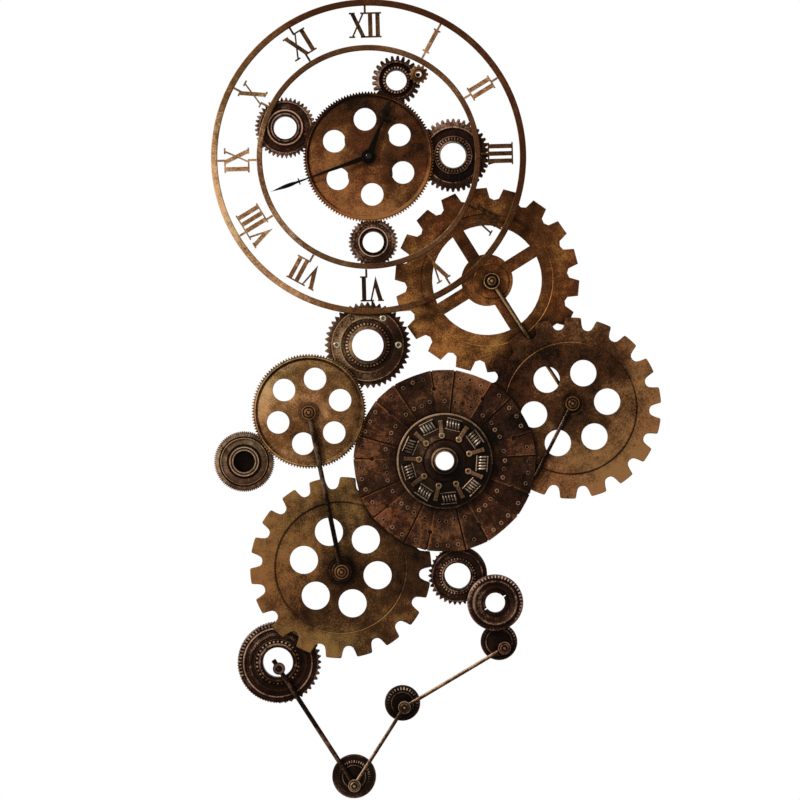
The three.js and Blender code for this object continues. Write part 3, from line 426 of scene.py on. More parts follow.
# Spring wire and rivets, pale and slightly yellow.
PALE = Patina("pale_spring_steel", "#140e0a", "#7a6a5e", "#d2c6ba", metallic=0.75, roughness=0.34, grime_and_shade=1.0,
              shelter=5.0)
# Copper strip, rubbed.
COPPER = Patina("rubbed_copper_strip", "#24120a", "#64401f", "#b07c4c", metallic=0.7, roughness=0.38,
                grime_and_shade=0.7)
# Steel rod with a thin copper wash: brown, with a pale pink painted highlight along one side.
COPPER_ROD = replace(COPPER, name="copper_washed_rod", dark="#1c110b", middle="#4c3527", light="#b89a82")
# Steel rod blackened in oil and polished: black, with a narrow painted highlight along one side.
DARK_ROD = replace(OILED, name="oil_blackened_rod", middle="#1a100b", light="#745c4a", metallic=0.7,
                   roughness=0.36)
# Turned brass.
BRASS = Patina("turned_brass", "#4a3014", "#9a7436", "#d8b46c", metallic=0.85, roughness=0.3, grime_and_shade=0.4)
# Sheet steel under a hot black oxide: black, with a faint warm sheen.
OXIDE = Patina("black_oxide_sheet", "#060404", "#0f0b09", "#30251c", metallic=0.7, roughness=0.42,
               spread=0.7, bump=0.1)
# Moulded black ABS with a fine spark-eroded grain.
BLACK_ABS = Patina("moulded_black_abs", "#0d0d0d", "#1a1a1a", "#2a2a2a", metallic=0.0, roughness=0.55,
                   specular=0.5, spread=0.5, golden="#ffffff", reddish="#f4f4f4")
# Moulded ivory acetal.
IVORY = Patina("moulded_ivory_acetal", "#a8a498", "#d2cfc4", "#e8e5da", metallic=0.0, roughness=0.45,
               specular=0.5, spread=0.4, bump=0.1, golden="#ffffff", reddish="#f8f6f0")
# Plain shrink sleeve of a dry cell.
SLEEVE = Patina("plain_cell_sleeve", "#202326", "#3a3e42", "#5c6064", metallic=0.1, roughness=0.38,
                specular=0.5, spread=0.4, bump=0.08, golden="#ffffff", reddish="#f4f4f8")


@dataclass
class Surface:
    """Points in millimetres (x, y, z), the quads that join them and a tone for each point."""

    points: np.ndarray
    faces: np.ndarray
    tone: np.ndarray

    def moved(self, across: float, inward: float, up: float) -> "Surface":
        """Move the shape and return it."""
        self.points = self.points + np.array([across, inward, up])
        return self

    def turned_copies(self, angles: Sequence[float], axis: Seat) -> "Surface":
        """Copy the shape round an axis that runs into the wall.

        A point (r, y, t) goes to x + r cos a - t sin a and z + r sin a + t cos a for every angle a.

        Args:
            angles: the copies' directions in degrees, seen from the front.
            axis: the axis at x and z.

        Returns:
            One surface that holds every copy.
        """
        turn = np.radians(np.asarray(angles, float))[:, None]
        r, y, t = self.points.T
        across = axis.x + r * np.cos(turn) - t * np.sin(turn)
        up = axis.z + r * np.sin(turn) + t * np.cos(turn)
        return self.repeated(np.stack([across, np.broadcast_to(y, across.shape), up], -1))

    def moved_copies(self, places: np.ndarray) -> "Surface":
        """Copy the shape to every place, one row of offsets each."""
        return self.repeated(self.points[None] + places[:, None])

    def side_lit(self, axis: Seat, swing: float, inner: float = 0.0, outer: float = math.inf,
                 toward: float = LIT) -> "Surface":
        """Lighten a ring of points on the lit side of an axis and darken it opposite.

        The swing times the cosine of a point's direction less the lit side's is added to its tone.

        Args:
            axis: the axis that runs into the wall.
            swing: how much lighter the lit side gets.
            inner: least radius of the points that change.
            outer: greatest radius of the points that change.
            toward: direction of the lit side.

        Returns:
            The same surface.
        """
        across, up = self.points[:, 0] - axis.x, self.points[:, 2] - axis.z
        radius = np.hypot(across, up)
        share = np.where((radius >= inner) & (radius <= outer), swing, 0.0)
        self.tone = self.tone + share * np.cos(np.arctan2(up, across) - toward)
        return self

    def repeated(self, points: np.ndarray) -> "Surface":
        """Join copies of the shape.

        Args:
            points: the copies' points, stacked along the first axis.

        Returns:
            One surface that holds every copy.
        """
        step = np.arange(len(points))[:, None, None] * len(self.points)
        faces = (self.faces[None] + step).reshape(-1, 4)
        return Surface(points.reshape(-1, 3), faces, np.tile(self.tone, len(points)))


def joined(surfaces: Sequence[Surface]) -> Surface:
    """Put several surfaces into one, without welding them.

    Args:
        surfaces: the surfaces.

    Returns:
        The one surface.
    """
    starts = np.cumsum([0] + [len(s.points) for s in surfaces[:-1]])
    faces = [s.faces + start for s, start in zip(surfaces, starts)]
    points = np.concatenate([s.points for s in surfaces])
    return Surface(points, np.concatenate(faces), np.concatenate([s.tone for s in surfaces]))


def grid_faces(rows: int, columns: int, ring_rows: bool, ring_columns: bool) -> np.ndarray:
    """Quads between neighbours of a grid of points.

    Args:
        rows: points along the first parameter.
        columns: points along the second parameter.
        ring_rows: whether the last row joins the first.
        ring_columns: whether the last column joins the first.

    Returns:
        Four point numbers for each quad.
    """
    down, right = np.arange(rows - (not ring_rows)), np.arange(columns - (not ring_columns))
    i, j = np.meshgrid(down, right, indexing="ij")
    k, m = (i + 1) % rows, (j + 1) % columns
    corners = [i * columns + j, k * columns + j, k * columns + m, i * columns + m]
    return np.stack(corners, -1).reshape(-1, 4)


@dataclass(frozen=True)
class Teeth:
    """A ring of teeth on a rim; a tooth's middle stands at the phase, in degrees seen from the front."""

    count: int
    height: float
    form: ToothForm
    phase: float = 0.0

    def wave(self) -> tuple[np.ndarray, np.ndarray]:
        """Work out the rim: a tooth's half form, mirrored about its middle and repeated for every pitch.

        Returns:
            Angles round the rim, and the height at each from 0 in a gap to 1 on a tip.
        """
        shares, heights = np.array(self.form.value).T
        half = np.unique(np.concatenate([shares, (shares[1:] + shares[:-1]) / 2]))
        steps = np.concatenate([-half[::-1], half[1:-1]])
        turn = (np.arange(self.count)[:, None] + steps).ravel()
        level = np.interp(np.abs(steps), shares, heights)
        return np.radians(self.phase + turn * 360 / self.count), np.tile(level, self.count)


def turned(section: Sequence[Corner], axis: Seat, sides: int = 0, teeth: Teeth | None = None) -> Surface:
    """Carry a closed section round an axis that runs into the wall.

    The point for angle a and corner k is (x + q cos a, -depth, z + q sin a), where q is the corner's radius
    plus its share of the tooth height at a. An inset moves it from there along the inward normal of the
    toothed outline. A section that closes on the axis starts and ends with a radius of zero.

    Args:
        section: the corners, in order round the section.
        axis: the axis at x and z.
        sides: points round the axis, where there are no teeth.
        teeth: teeth that corners with a share follow.

    Returns:
        The closed surface.
    """
    radius, depth, tone, share, inset = np.array([Step(*corner) for corner in section], float).T
    angle, level, height = np.linspace(0, 2 * np.pi, sides, endpoint=False), np.zeros(sides), 0.0
    if teeth is not None:
        angle, level = teeth.wave()
        height = teeth.height
    way = np.stack([np.cos(angle), np.sin(angle)], -1)[:, None]
    reach = radius + share * height * level[:, None]
    flat = way * reach[..., None]
    along = np.roll(flat, -1, 0) - np.roll(flat, 1, 0)
    along = along / np.maximum(np.linalg.norm(along, axis=-1, keepdims=True), 1e-9)
    inward = np.stack([-along[..., 1], along[..., 0]], -1)
    flat = flat + inward * inset[:, None]
    depths = np.broadcast_to(-depth, reach.shape)
    points = np.stack([axis.x + flat[..., 0], depths, axis.z + flat[..., 1]], -1).reshape(-1, 3)
    return Surface(points, grid_faces(len(angle), len(radius), True, True), np.tile(tone, len(angle)))


def shifted(profile: Profile, radius: float, depth: float) -> list[Corner]:
    """Move a profile, given as offsets outwards and towards the viewer, to a radius and a depth."""
    return [(radius + out, depth + rise, *rest) for out, rise, *rest in profile]


def puck(inner: float, outer: float, back: float, front: float, edge: float,
         tones: tuple[float, float, float, float]) -> list[Corner]:
    """Section of a flat ring with a broken front edge.

    Args:
        inner: radius of the bore, 0 for a disc.
        outer: radius of the rim.
        back: depth of the back.
        front: depth of the face.
        edge: width of the broken edge.
        tones: tones of the bore's back, the edge's outer and inner corner, and the bore's front.

    Returns:
        The section's corners.
    """
    start, rim, lip, end = tones
    corners = [(inner, back, start), (outer, back), (outer, front - edge, rim)]
    return corners + [(outer - edge, front, lip), (inner, front, end)]


def bead(axis: Seat, radius: float, face: float, half: float, tone: float, swing: float) -> Surface:
    """A half-round bead on a face: a low semicircle turned round the axis.

    Args:
        axis: the axis that runs into the wall.
        radius: radius of the bead's middle.
        face: depth of the face.
        half: half the bead's width.
        tone: its plain tone.
        swing: how much lighter it is on the lit side.

    Returns:
        The closed surface.
    """
    turn = np.linspace(0, np.pi, BEAD_STEPS)
    arc = [(radius + half * math.cos(t), face + BEAD_HEIGHT * half * math.sin(t), tone) for t in turn]
    section = [(radius + half, face - half, tone), *arc, (radius - half, face - half, tone)]
    return turned(section, axis, sides=120).side_lit(axis, swing)


def eyelet(radius: float, face: float) -> Surface:
    """A ring-shaped rivet about the origin: a low ring with a sunken middle, turned on a face."""
    section = [(share * radius, face + rise, *tone) for share, rise, *tone in EYELET]
    return turned(section, ORIGIN, sides=14)


def rounded(half_first: float, half_second: float, power: float = 1.0, count: int = 8) -> np.ndarray:
    """A rounded outline: a circle whose sine and cosine are raised to a power.

    Args:
        half_first: half its size along the first axis.
        half_second: half its size along the second axis.
        power: 1 is an ellipse, towards 0 it is a box.
        count: points round it.

    Returns:
        The outline's points.
    """
    turn = np.linspace(0, 2 * np.pi, count, endpoint=False)
    circle = np.stack([np.cos(turn), np.sin(turn)], -1)
    return np.sign(circle) * np.abs(circle) ** power * np.array([half_first, half_second])


def carried(path: np.ndarray, outline: np.ndarray, ring: bool = False) -> Surface:
    """Carry an outline along a path.

    The outline lies across the path's tangent. Its first axis is the part of y, into the wall, that is
    square to the tangent, and its second axis is square to both.

    Args:
        path: points in millimetres.
        outline: points of the outline, first and second axis.
        ring: whether the path closes on itself.

    Returns:
        The surface, drawn in to a point at both ends where the path is open.
    """
    if not ring:
        path = np.concatenate([path[:1], path, path[-1:]])
    along = np.roll(path, -1, 0) - np.roll(path, 1, 0)
    size = np.ones(len(path))
    if not ring:
        along[[0, 1]], along[[-1, -2]] = path[2] - path[1], path[-2] - path[-3]
        size[[0, -1]] = 0.0
    along = along / np.linalg.norm(along, axis=1, keepdims=True)
    first = np.array([0.0, 1.0, 0.0]) - along * along[:, 1:2]
    first = first / np.linalg.norm(first, axis=1, keepdims=True)
    second = np.cross(along, first)
    across = first[:, None] * outline[:, :1] + second[:, None] * outline[:, 1:]
    points = path[:, None] + size[:, None, None] * across
    tone = np.zeros(points[..., 0].size)
    return Surface(points.reshape(-1, 3), grid_faces(len(path), len(outline), ring, True), tone)


def straight(start: Sequence[float], end: Sequence[float], rows: int = 2) -> np.ndarray:
    """Points in equal steps from one place to another."""
    return np.linspace(np.asarray(start, float), np.asarray(end, float), rows)


def soft_block(length: float, depth: float, width: float, power: float = 0.3) -> Surface:
    """A block with rounded corners about the origin: a sphere whose sines and cosines are raised to a power.

    Args:
        length: size along the radius.
        depth: size into the wall.
        width: size across.
        power: 1 is an ellipsoid, towards 0 it is a sharp block.

    Returns:
        The closed surface, of a few dozen faces.
    """
    rows, columns = BLOCK_GRID
    up = np.linspace(-np.pi / 2, np.pi / 2, rows)[:, None]
    ring = rounded(length / 2, width / 2, power, columns)
    swell = np.cos(up).clip(0) ** power
    y = -depth / 2 * np.sign(np.sin(up)) * np.abs(np.sin(up)) ** power * np.ones(columns)
    points = np.stack([swell * ring[:, 0], y, swell * ring[:, 1]], -1).reshape(-1, 3)
    return Surface(points, grid_faces(rows, columns, False, True), np.zeros(rows * columns))


def holed_sheet(axis: Seat, front: float, inner: float, outer: float, holes: Holes) -> Surface:
    """A flat ring with a circle of round holes, one in the middle of each equal sector.

    In a sector, a point is (1 - v) times a point of the hole's circle plus v times the point of the sector's
    outline in the same direction from the hole's middle. The outline is one radius, the outer arc, the other
    radius and the inner arc.

    Args:
        axis: the axis that runs into the wall.
        front: depth of the sheet.
        inner: radius of the ring's inner edge.
        outer: radius of the ring's outer edge.
        holes: the circle of holes.

    Returns:
        The open sheet, whose sectors share their edge points.
    """
    half, (side, arc, core) = math.pi / holes.count, SHEET_STEPS
    run = np.linspace(inner, outer, side + 1)
    radius = np.concatenate([run[:-1], np.full(arc, outer), run[:0:-1], np.full(core, inner)])
    swing = [np.linspace(-half, half, arc + 1)[:-1], np.linspace(half, -half, core + 1)[:-1]]
    angle = np.concatenate([np.full(side, -half), swing[0], np.full(side, half), swing[1]])
    outline = np.stack([radius * np.cos(angle), radius * np.sin(angle)], -1)
    middle = np.array([holes.circle, 0.0])
    aside = outline - middle
    circle = middle + holes.radius * aside / np.linalg.norm(aside, axis=1, keepdims=True)
    share = np.linspace(0, 1, SHEET_ROWS)[:, None, None]
    flat = ((1 - share) * circle + share * outline).reshape(-1, 2)
    points = np.column_stack([flat[:, 0], np.full(len(flat), -front), flat[:, 1]])
    sector = Surface(points, grid_faces(SHEET_ROWS, len(outline), False, True), np.zeros(len(points)))
    return sector.turned_copies(holes.start + np.arange(holes.count) * 360 / holes.count, axis)


@dataclass(frozen=True)
class Dogs:
    """A ring of short rounded blocks, or a stretch of one, each along the radius.

    The drop is that of their tops below the front, and a width of 0 is a share of the pitch.
    """

    count: int
    inner: float
    outer: float
    drop: float
    height: float = 2.4
    width: float = 0.0
    swing: float = 0.2
    toward: float = LIT
    first: float = 0.0
    last: float = 360.0

    def ring(self, axis: Seat, front: float) -> Surface:
        """Set the blocks round an axis.

        Args:
            axis: the axis that runs into the wall.
            front: depth of the face that the drop is measured from.

        Returns:
            One surface that holds every block, lighter on its lit side.
        """
        middle = (self.outer + self.inner) / 2
        width = self.width or DOG_FILL * math.radians(self.last - self.first) * middle / self.count
        block = soft_block(self.outer - self.inner, self.height, width)
        block.moved(middle, self.height / 2 - (front - self.drop), 0)
        places = np.linspace(self.first, self.last, self.count, endpoint=False)
        return block.turned_copies(places, axis).side_lit(axis, self.swing, toward=self.toward)


def set_tone(mesh: bpy.types.Mesh, tone: np.ndarray) -> None:
    """Store a tone for each point of a mesh."""
    mesh.attributes.new("tone", "FLOAT", "POINT").data.foreach_set("value", tone.astype(np.float32))


def weld(mesh: bpy.types.Mesh, distance: float, flatten: bool = False, forward: bool = False) -> None:
    """Weld a mesh's points and face it outwards.

    Args:
        mesh: the mesh.
        distance: points closer than this are one point.
        flatten: whether flat neighbours become one face.
        forward: whether every face is turned towards the viewer, as on an open sheet.
    """
    shell = bmesh.new()
    shell.from_mesh(mesh)
    bmesh.ops.remove_doubles(shell, verts=shell.verts, dist=distance * MM)
    if flatten:
        bmesh.ops.dissolve_limit(shell, angle_limit=FLAT_ANGLE, verts=shell.verts, edges=shell.edges)
    bmesh.ops.recalc_face_normals(shell, faces=shell.faces)
    if forward:
        bmesh.ops.reverse_faces(shell, faces=[face for face in shell.faces if face.normal.y > 0])
    shell.to_mesh(mesh)
    shell.free()


def place_piece(name: str, node: str, mesh: bpy.types.Mesh, finishes: Sequence[Patina], stands: bool) -> bpy.types.Object:
    """Link a mesh as a smooth-shaded piece on a node's body.

    Args:
        name: the piece's name.
        node: the node whose body and material slot it takes.
        mesh: its mesh.
        finishes: its patinas, by material number.
        stands: whether it replaces the node.

    Returns:
        The new object.
    """
    for finish in finishes:
        mesh.materials.append(finish.material())
    mesh.shade_smooth()
    mesh.set_sharp_from_angle(angle=SMOOTH_ANGLE)
    piece = bpy.data.objects.new(name, mesh)
    bpy.context.scene.collection.objects.link(piece)
    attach(piece, frame["nodes"][node]["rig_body"])
    if stands:
        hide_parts(node)
    LOG.info("%s: %d faces", name, len(mesh.polygons))
    return piece


def make_piece(name: str, node: str, surface: Surface, finish: Patina, stands: bool = False,
               sheet: float = 0.0) -> None:
    """Put a surface into a mesh, weld it and place it on a node's body.

    Args:
        name: the piece's name.
        node: the node whose body and material slot it takes.
        surface: its points, quads and tones.
        finish: its patina.
        stands: whether it replaces the node.
        sheet: thickness to give an open sheet, backwards from its front.
    """
    mesh = bpy.data.meshes.new(name)
    mesh.from_pydata((surface.points * MM).tolist(), [], surface.faces.tolist())
    set_tone(mesh, surface.tone)
    weld(mesh, MERGE, forward=sheet > 0)
    piece = place_piece(name, node, mesh, [finish], stands)
    if sheet:
        thick = piece.modifiers.new("sheet", "SOLIDIFY")
        thick.thickness = sheet * MM
        thick.offset = -1
        ease(piece, Edge.EASED)


def ease(piece: bpy.types.Object, edge: Edge, finish_number: int = 0) -> None:
    """Round a piece's sharp edges with a bevel.

    Args:
        piece: the piece.
        edge: how far its edges are eased.
        finish_number: number of the piece's finish that the bevel takes.
    """
    bevel = piece.modifiers.new("eased_edges", "BEVEL")
    bevel.width = edge.value * MM
    bevel.segments = 2
    bevel.limit_method = "ANGLE"
    bevel.angle_limit = BEVEL_ANGLE
    bevel.material = finish_number
    piece.modifiers.new("flat_faces", "WEIGHTED_NORMAL")


@dataclass
class CutPiece:
    """A sheet node whose solid is right: a welded copy with eased edges takes its place."""

    node: str
    finish: Patina
    # finish of the eased edges; some are lighter copies, for wear and a painted highlight
    edge_finish: Patina
    edge: Edge = Edge.CRISP
    weld: float = 0.15
    tone: float = 0.0

    def build(self) -> None:
        """Copy the node, weld and ease it."""
        name = self.node + "_dressed"
        mesh = frame["nodes"][self.node].data.copy()
        mesh.name = name
        mesh.materials.clear()
        weld(mesh, self.weld, flatten=True)
        set_tone(mesh, np.full(len(mesh.vertices), self.tone))
        ease(place_piece(name, self.node, mesh, [self.finish, self.edge_finish], True), self.edge, 1)


@dataclass
class DialFace:
    """Two flat rings and twelve cut numerals, tan at the lower left and chocolate elsewhere."""

    outer_band: float = 8.0
    inner_band: float = 7.0
    ease_width: float = 1.0
    edge_tone: float = 0.1
    edge_swing: float = 0.3
    inner_drift: float = 0.2
    drift: Drift = Drift("outer_ring", 203, 0.42, start=0.15)
    numeral_weld: float = 0.05
    numeral_tones: tuple[float, ...] = (0.2, 0.12, -0.25, -0.4, -0.1, -0.42, 0.04, 0.22, 0.2, 0.12,
                                        -0.3, -0.35)

    def build(self) -> None:
        """Turn the rings and ease the numerals."""
        tan = replace(TAN, name="tan_washed_dial", drift=self.drift)
        inner_tan = replace(TAN, name="tan_washed_inner", middle="#62442c", light="#bc9c7c",
                            drift=replace(self.drift, strength=self.inner_drift))
        bands = (("outer_ring", self.outer_band, tan), ("inner_ring", self.inner_band, inner_tan))
        for node, width, finish in bands:
            make_piece(node + "_turned", node, self.band(Seat.of(node), width), finish, True)
        sheet = replace(TAN, name="tan_washed_numeral", dark="#22130a")
        for number, tone in enumerate(self.numeral_tones, 1):
            CutPiece(f"numeral_{number:02d}", sheet, sheet, weld=self.numeral_weld, tone=tone).build()

    def band(self, seat: Seat, width: float) -> Surface:
        """Turn a flat band with eased edges round the dial's axis.

        Args:
            seat: the ring's seat.
            width: width of the band.

        Returns:
            The closed surface, with its edges lit from one side.
        """
        inner, outer, cut = seat.radius - width, seat.radius, self.ease_width
        section = [(inner, seat.back), (outer, seat.back), (outer, seat.front - cut, self.edge_tone)]
        section += [(outer - cut, seat.front), (inner + cut, seat.front)]
        section.append((inner, seat.front - cut, self.edge_tone))
        # The edges are painted by their direction: a highlight on the outer edge's lit side and shade on the
        # inner edge's lit side, the reverse opposite.
        ring = turned(section, seat, sides=288).side_lit(seat, self.edge_swing, outer - cut / 2)
        return ring.side_lit(seat, -self.edge_swing, outer=inner + cut / 2)


def washed(name: str, tones: tuple[str, str, str], drift: Drift, seed: float) -> Patina:
    """A bronze wash for one gear.

    Args:
        name: the finish's name.
        tones: dark, middle and light colours.
        drift: where the gear is lighter.
        seed: shifts the pattern.

    Returns:
        The finish.
    """
    return replace(BRONZE, name=name, dark=tones[0], middle=tones[1], light=tones[2], drift=drift, seed=seed)


# Bronze washes that differ in warmth, in depth and in the side that is rubbed lighter.
SPOKE_WASH = washed("bronze_washed_spokes", ("#1c0e06", "#5a351b", "#ac7842"),
                    Drift("spoke_gear", 215, 0.18), 1.3)
RIGHT_WASH = washed("bronze_washed_right", ("#150a06", "#4a2d1a", "#946843"), Drift("right_gear", 312, 0.38),
                    2.1)
LOWER_WASH = washed("bronze_washed_lower", ("#140b06", "#432b18", "#86623a"),
                    Drift("lower_left_gear", 172, 0.38), 3.4)
CENTRE_WASH = replace(washed("bronze_washed_centre", ("#190d06", "#522e18", "#94663e"),
                             Drift("centre_gear", 250, 0.3), 4.2), grime_and_shade=0.7, shelter=5.0)
LEFT_WASH = washed("bronze_washed_left", ("#1e1009", "#70502f", "#bc966c"), Drift("left_gear", 160, 0.26),
                   5.6)


@dataclass
class FineGear:
    """A dished gear: a web with round holes inside a raised rim with fine teeth."""

    node: str
    finish: Patina
    tip: float
    teeth: Teeth
    rim: float
    holes: Holes
    core: float
    rim_swing: float
    slope_swing: float = -0.4
    web: float = 3.0
    rim_rise: float = 2.0
    tooth_drop: float = 1.2
    lip: float = 1.6

    def build(self) -> None:
        """Lay the web and carry the toothed rim round it."""
        seat = Seat.of(self.node)
        root = self.tip - self.teeth.height
        inner, web_front = root - self.rim, seat.back + self.web
        sheet = holed_sheet(seat, web_front, self.core, inner + self.rim / 2, self.holes)
        make_piece(self.node + "_web", self.node, sheet, self.finish, sheet=self.web - EASE)
        rim_front = web_front + self.rim_rise
        tooth_front = rim_front - self.tooth_drop
        shoulder, floor = root - self.lip / 2, web_front + EASE
        # The tones paint highlights on the tooth edge and the lip, and shade at the foot of the rim's inner
        # wall.
        section = [(inner, seat.back, -0.2), (root, seat.back, -0.2, 1), (root, tooth_front - EASE, 0, 1)]
        section += [(root, tooth_front, 0.25, 1, EASE), (shoulder, tooth_front, -0.3)]
        section += [(shoulder - EASE, rim_front, 0.2), (shoulder - self.lip, rim_front, 0.15)]
        section += [(inner + self.rim / 3, floor, -0.15), (inner, floor, -0.3)]
        # The rim's tone changes with its direction by the swing; the inner wall is painted dark on the lit
        # side and light opposite, as painted shade and highlight.
        rim = turned(section, seat, teeth=self.teeth).side_lit(seat, self.rim_swing)
        rim.side_lit(seat, self.slope_swing, inner - EASE, inner + self.rim / 2)
        make_piece(self.node + "_rim", self.node, rim, self.finish, True)


@dataclass
class CoarseGear:
    """A plate gear: a broad toothed ring round a disc with six holes that is raised or sunk by a step."""

    node: str
    finish: Patina
    teeth: Teeth
    holes: Holes
    step: float
    bolt: str
    collar: float
    core_darkening: float = 0.4
    darkening_reach: float = 48.0
    tip: float = 113.5
    circle: float = 83.0
    lap: float = 1.5
    core: float = 1.0
    line_half: float = 0.8
    line_inset: float = 0.6
    line_sink: float = 0.2
    line_tones: tuple[float, float] = (-0.05, -0.2)
    raised_swing: float = 0.7
    sunk_swing: float = -0.5
    collar_swing: float = -0.3

    def build(self) -> None:
        """Carry the toothed ring, lay the disc inside it and draw the circles."""
        seat = Seat.of(self.node)
        root, edge = self.tip - self.teeth.height, Edge.BROKEN.value
        lap, front = self.circle - self.lap, seat.front
        # The tooth edges are painted lighter, a highlight, and the lip at the step darker, painted shade.
        section = [(lap, seat.back), (root, seat.back, 0, 1), (root, front - edge, 0.2, 1)]
        section += [(root, front, 0.2, 1, edge), (self.circle + EASE, front, 0.05)]
        section += [(self.circle - EASE, front - edge, -0.3), (lap, front - edge, -0.3)]
        ring = turned(section, seat, teeth=self.teeth)
        make_piece(self.node + "_ring", self.node, ring, self.finish, True)
        face = front + self.step
        disc = holed_sheet(seat, face, self.core, self.circle - EASE, self.holes)
        # The disc darkens towards its core.
        reach = np.hypot(disc.points[:, 0] - seat.x, disc.points[:, 2] - seat.z)
        disc.tone -= self.core_darkening * np.clip(1 - reach / self.darkening_reach, 0, 1)
        make_piece(self.node + "_disc", self.node, disc, self.finish, sheet=face - seat.back - EASE)
        # The circles are beads painted lighter on one side and darker on the other: painted highlight and
        # shade.
        lit = self.raised_swing if self.step > 0 else self.sunk_swing
        foot, half, tones = max(front, face) - self.line_sink, self.line_half, self.line_tones
        lines = [bead(seat, self.circle - self.line_inset, foot, half, tones[0], lit)]
        lines.append(bead(Seat.of(self.bolt), self.collar, face, half, tones[1], self.collar_swing))
        make_piece(self.node + "_lines", self.node, joined(lines), self.finish)


@dataclass
class BoxGear:
    """A gearbox gear: stepped rings on its face, teeth round it and, on some, dog teeth and a knurl.

    The rings run inwards from the face's radius. The teeth lie below the face by the rim's drop, and a blind
    bore has a floor of the given thickness. A tip of 0 is the node's own half width.
    """

    node: str
    teeth: Teeth
    bore: float
    face: float
    bands: tuple[Band, ...]
    dogs: Dogs | None = None
    knurl: Dogs | None = None
    rim_drop: float = 0.0
    blind: float = 0.0
    tip: float = 0.0
    finish: Patina = OILED
    swing: float = 0.12
    tooth_tone: float = 0.3
    chamfer: float = 0.8
    floor_tone: float = -0.5

    def build(self) -> None:
        """Turn the gear and set the dogs and the knurl on it."""
        seat = Seat.of(self.node)
        make_piece(self.node + "_turned", self.node, self.body(seat), self.finish, True)
        for part, dogs, finish in (("_dogs", self.dogs, DOGS), ("_knurl", self.knurl, KNURL)):
            if dogs is not None:
                make_piece(self.node + part, self.node, dogs.ring(seat, seat.front), finish)

    def body(self, seat: Seat) -> Surface:
        """Turn the whole gear as one section; rings are drawn in by EASE so that neighbours meet in a slope.

        Args:
            seat: the gear's seat.

        Returns:
            The closed surface.
        """
        root, rim = (self.tip or seat.radius) - self.teeth.height, seat.front - self.rim_drop
        shelf = self.face if self.rim_drop else root - self.chamfer
        # The tones lighten lips and tooth edges and darken recesses: worn lips with painted highlights, and
        # painted shade; the swing paints the lit side lighter.
        section = [(self.bore, seat.back, -0.2), (root, seat.back, -0.1, 1)]
        section += [(root, rim - self.chamfer, 0.05, 1), (root, rim, self.tooth_tone, 1, self.chamfer / 2)]
        section.append((shelf, rim))
        outers = [self.face, *(band.inner for band in self.bands)]
        for outer, (inner, drop, tone) in zip(outers, self.bands):
            section += [(outer - EASE, seat.front - drop, tone), (inner + EASE, seat.front - drop, tone)]
        section.append((self.bore, seat.front - self.bands[-1].drop - EASE, -0.1))
        # The blind bore's floor is painted dark: painted shade.
        if self.blind:
            floor = seat.back + self.blind
            section[0] = (0.0, *section[0][1:])
            section += [(self.bore, floor, self.floor_tone), (0.0, floor, self.floor_tone)]
        return turned(section, seat, teeth=self.teeth).side_lit(seat, self.swing)


@dataclass
class SmallWheel:
    """A small blackened wheel: a smooth rim, a band of fine dogs, a thin pale ring and a boss."""

    node: str
    bolt: str
    ring: float
    front: float
    dog_count: int
    dog_inner: float
    dog_outer: float
    dog_rise: float = 0.9
    dog_swing: float = 0.45
    dog_light: float = math.radians(80)
    shoulder: float = 1.6
    rim_edge: Profile = ((0.0, -1.0, 0.1), (-1.0, 0.0, 0.1), (-2.6, 0.0, -0.12))
    ring_edge: Profile = ((1.6, -1.6, -0.25), (0.7, 0.0, 0.3), (-0.3, 0.0, 0.25), (-1.4, -1.0, -0.3))
    face_drop: float = 1.0
    face_tone: float = -0.25
    boss: float = 7.5
    boss_edge: float = 0.5
    boss_drop: float = 0.6

    def build(self) -> None:
        """Turn the wheel with its boss and set the dogs on its shoulder."""
        seat, edge = Seat.of(self.node), Edge.BROKEN.value
        rim, back = seat.radius, seat.back
        # The tones paint highlights on the rim's edge and the ring's top, and shade beside the ring and on
        # the face.
        section = [(0, back, -0.2), (rim - edge, back, -0.1), (rim, back + edge)]
        section += shifted(self.rim_edge, rim, self.front - self.shoulder)
        section += shifted(self.ring_edge, self.ring, self.front)
        section.append((0, self.front - self.face_drop, self.face_tone))
        top = max(seat.front - EASE, self.front - self.boss_drop)
        stud = puck(0, self.boss, back, top, self.boss_edge, (0.0, 0.0, 0.1, 0.0))
        parts = [turned(section, seat, sides=96), turned(stud, Seat.of(self.bolt), sides=40)]
        black = replace(OILED, name="oil_blackened_small_wheel", middle="#281a13", light="#866e5e")
        make_piece(self.node + "_turned", self.node, joined(parts), black, True)
        # The dogs are painted lighter on their lit side: a painted highlight.
        dogs = Dogs(self.dog_count, self.dog_inner, self.dog_outer, self.shoulder - self.dog_rise,
                    2 * self.dog_rise, swing=self.dog_swing, toward=self.dog_light)
        pale = replace(DOGS, name="small_wheel_dogs", middle="#3a2a20", light="#c8ac98")
        make_piece(self.node + "_dogs", self.node, dogs.ring(seat, self.front), pale)


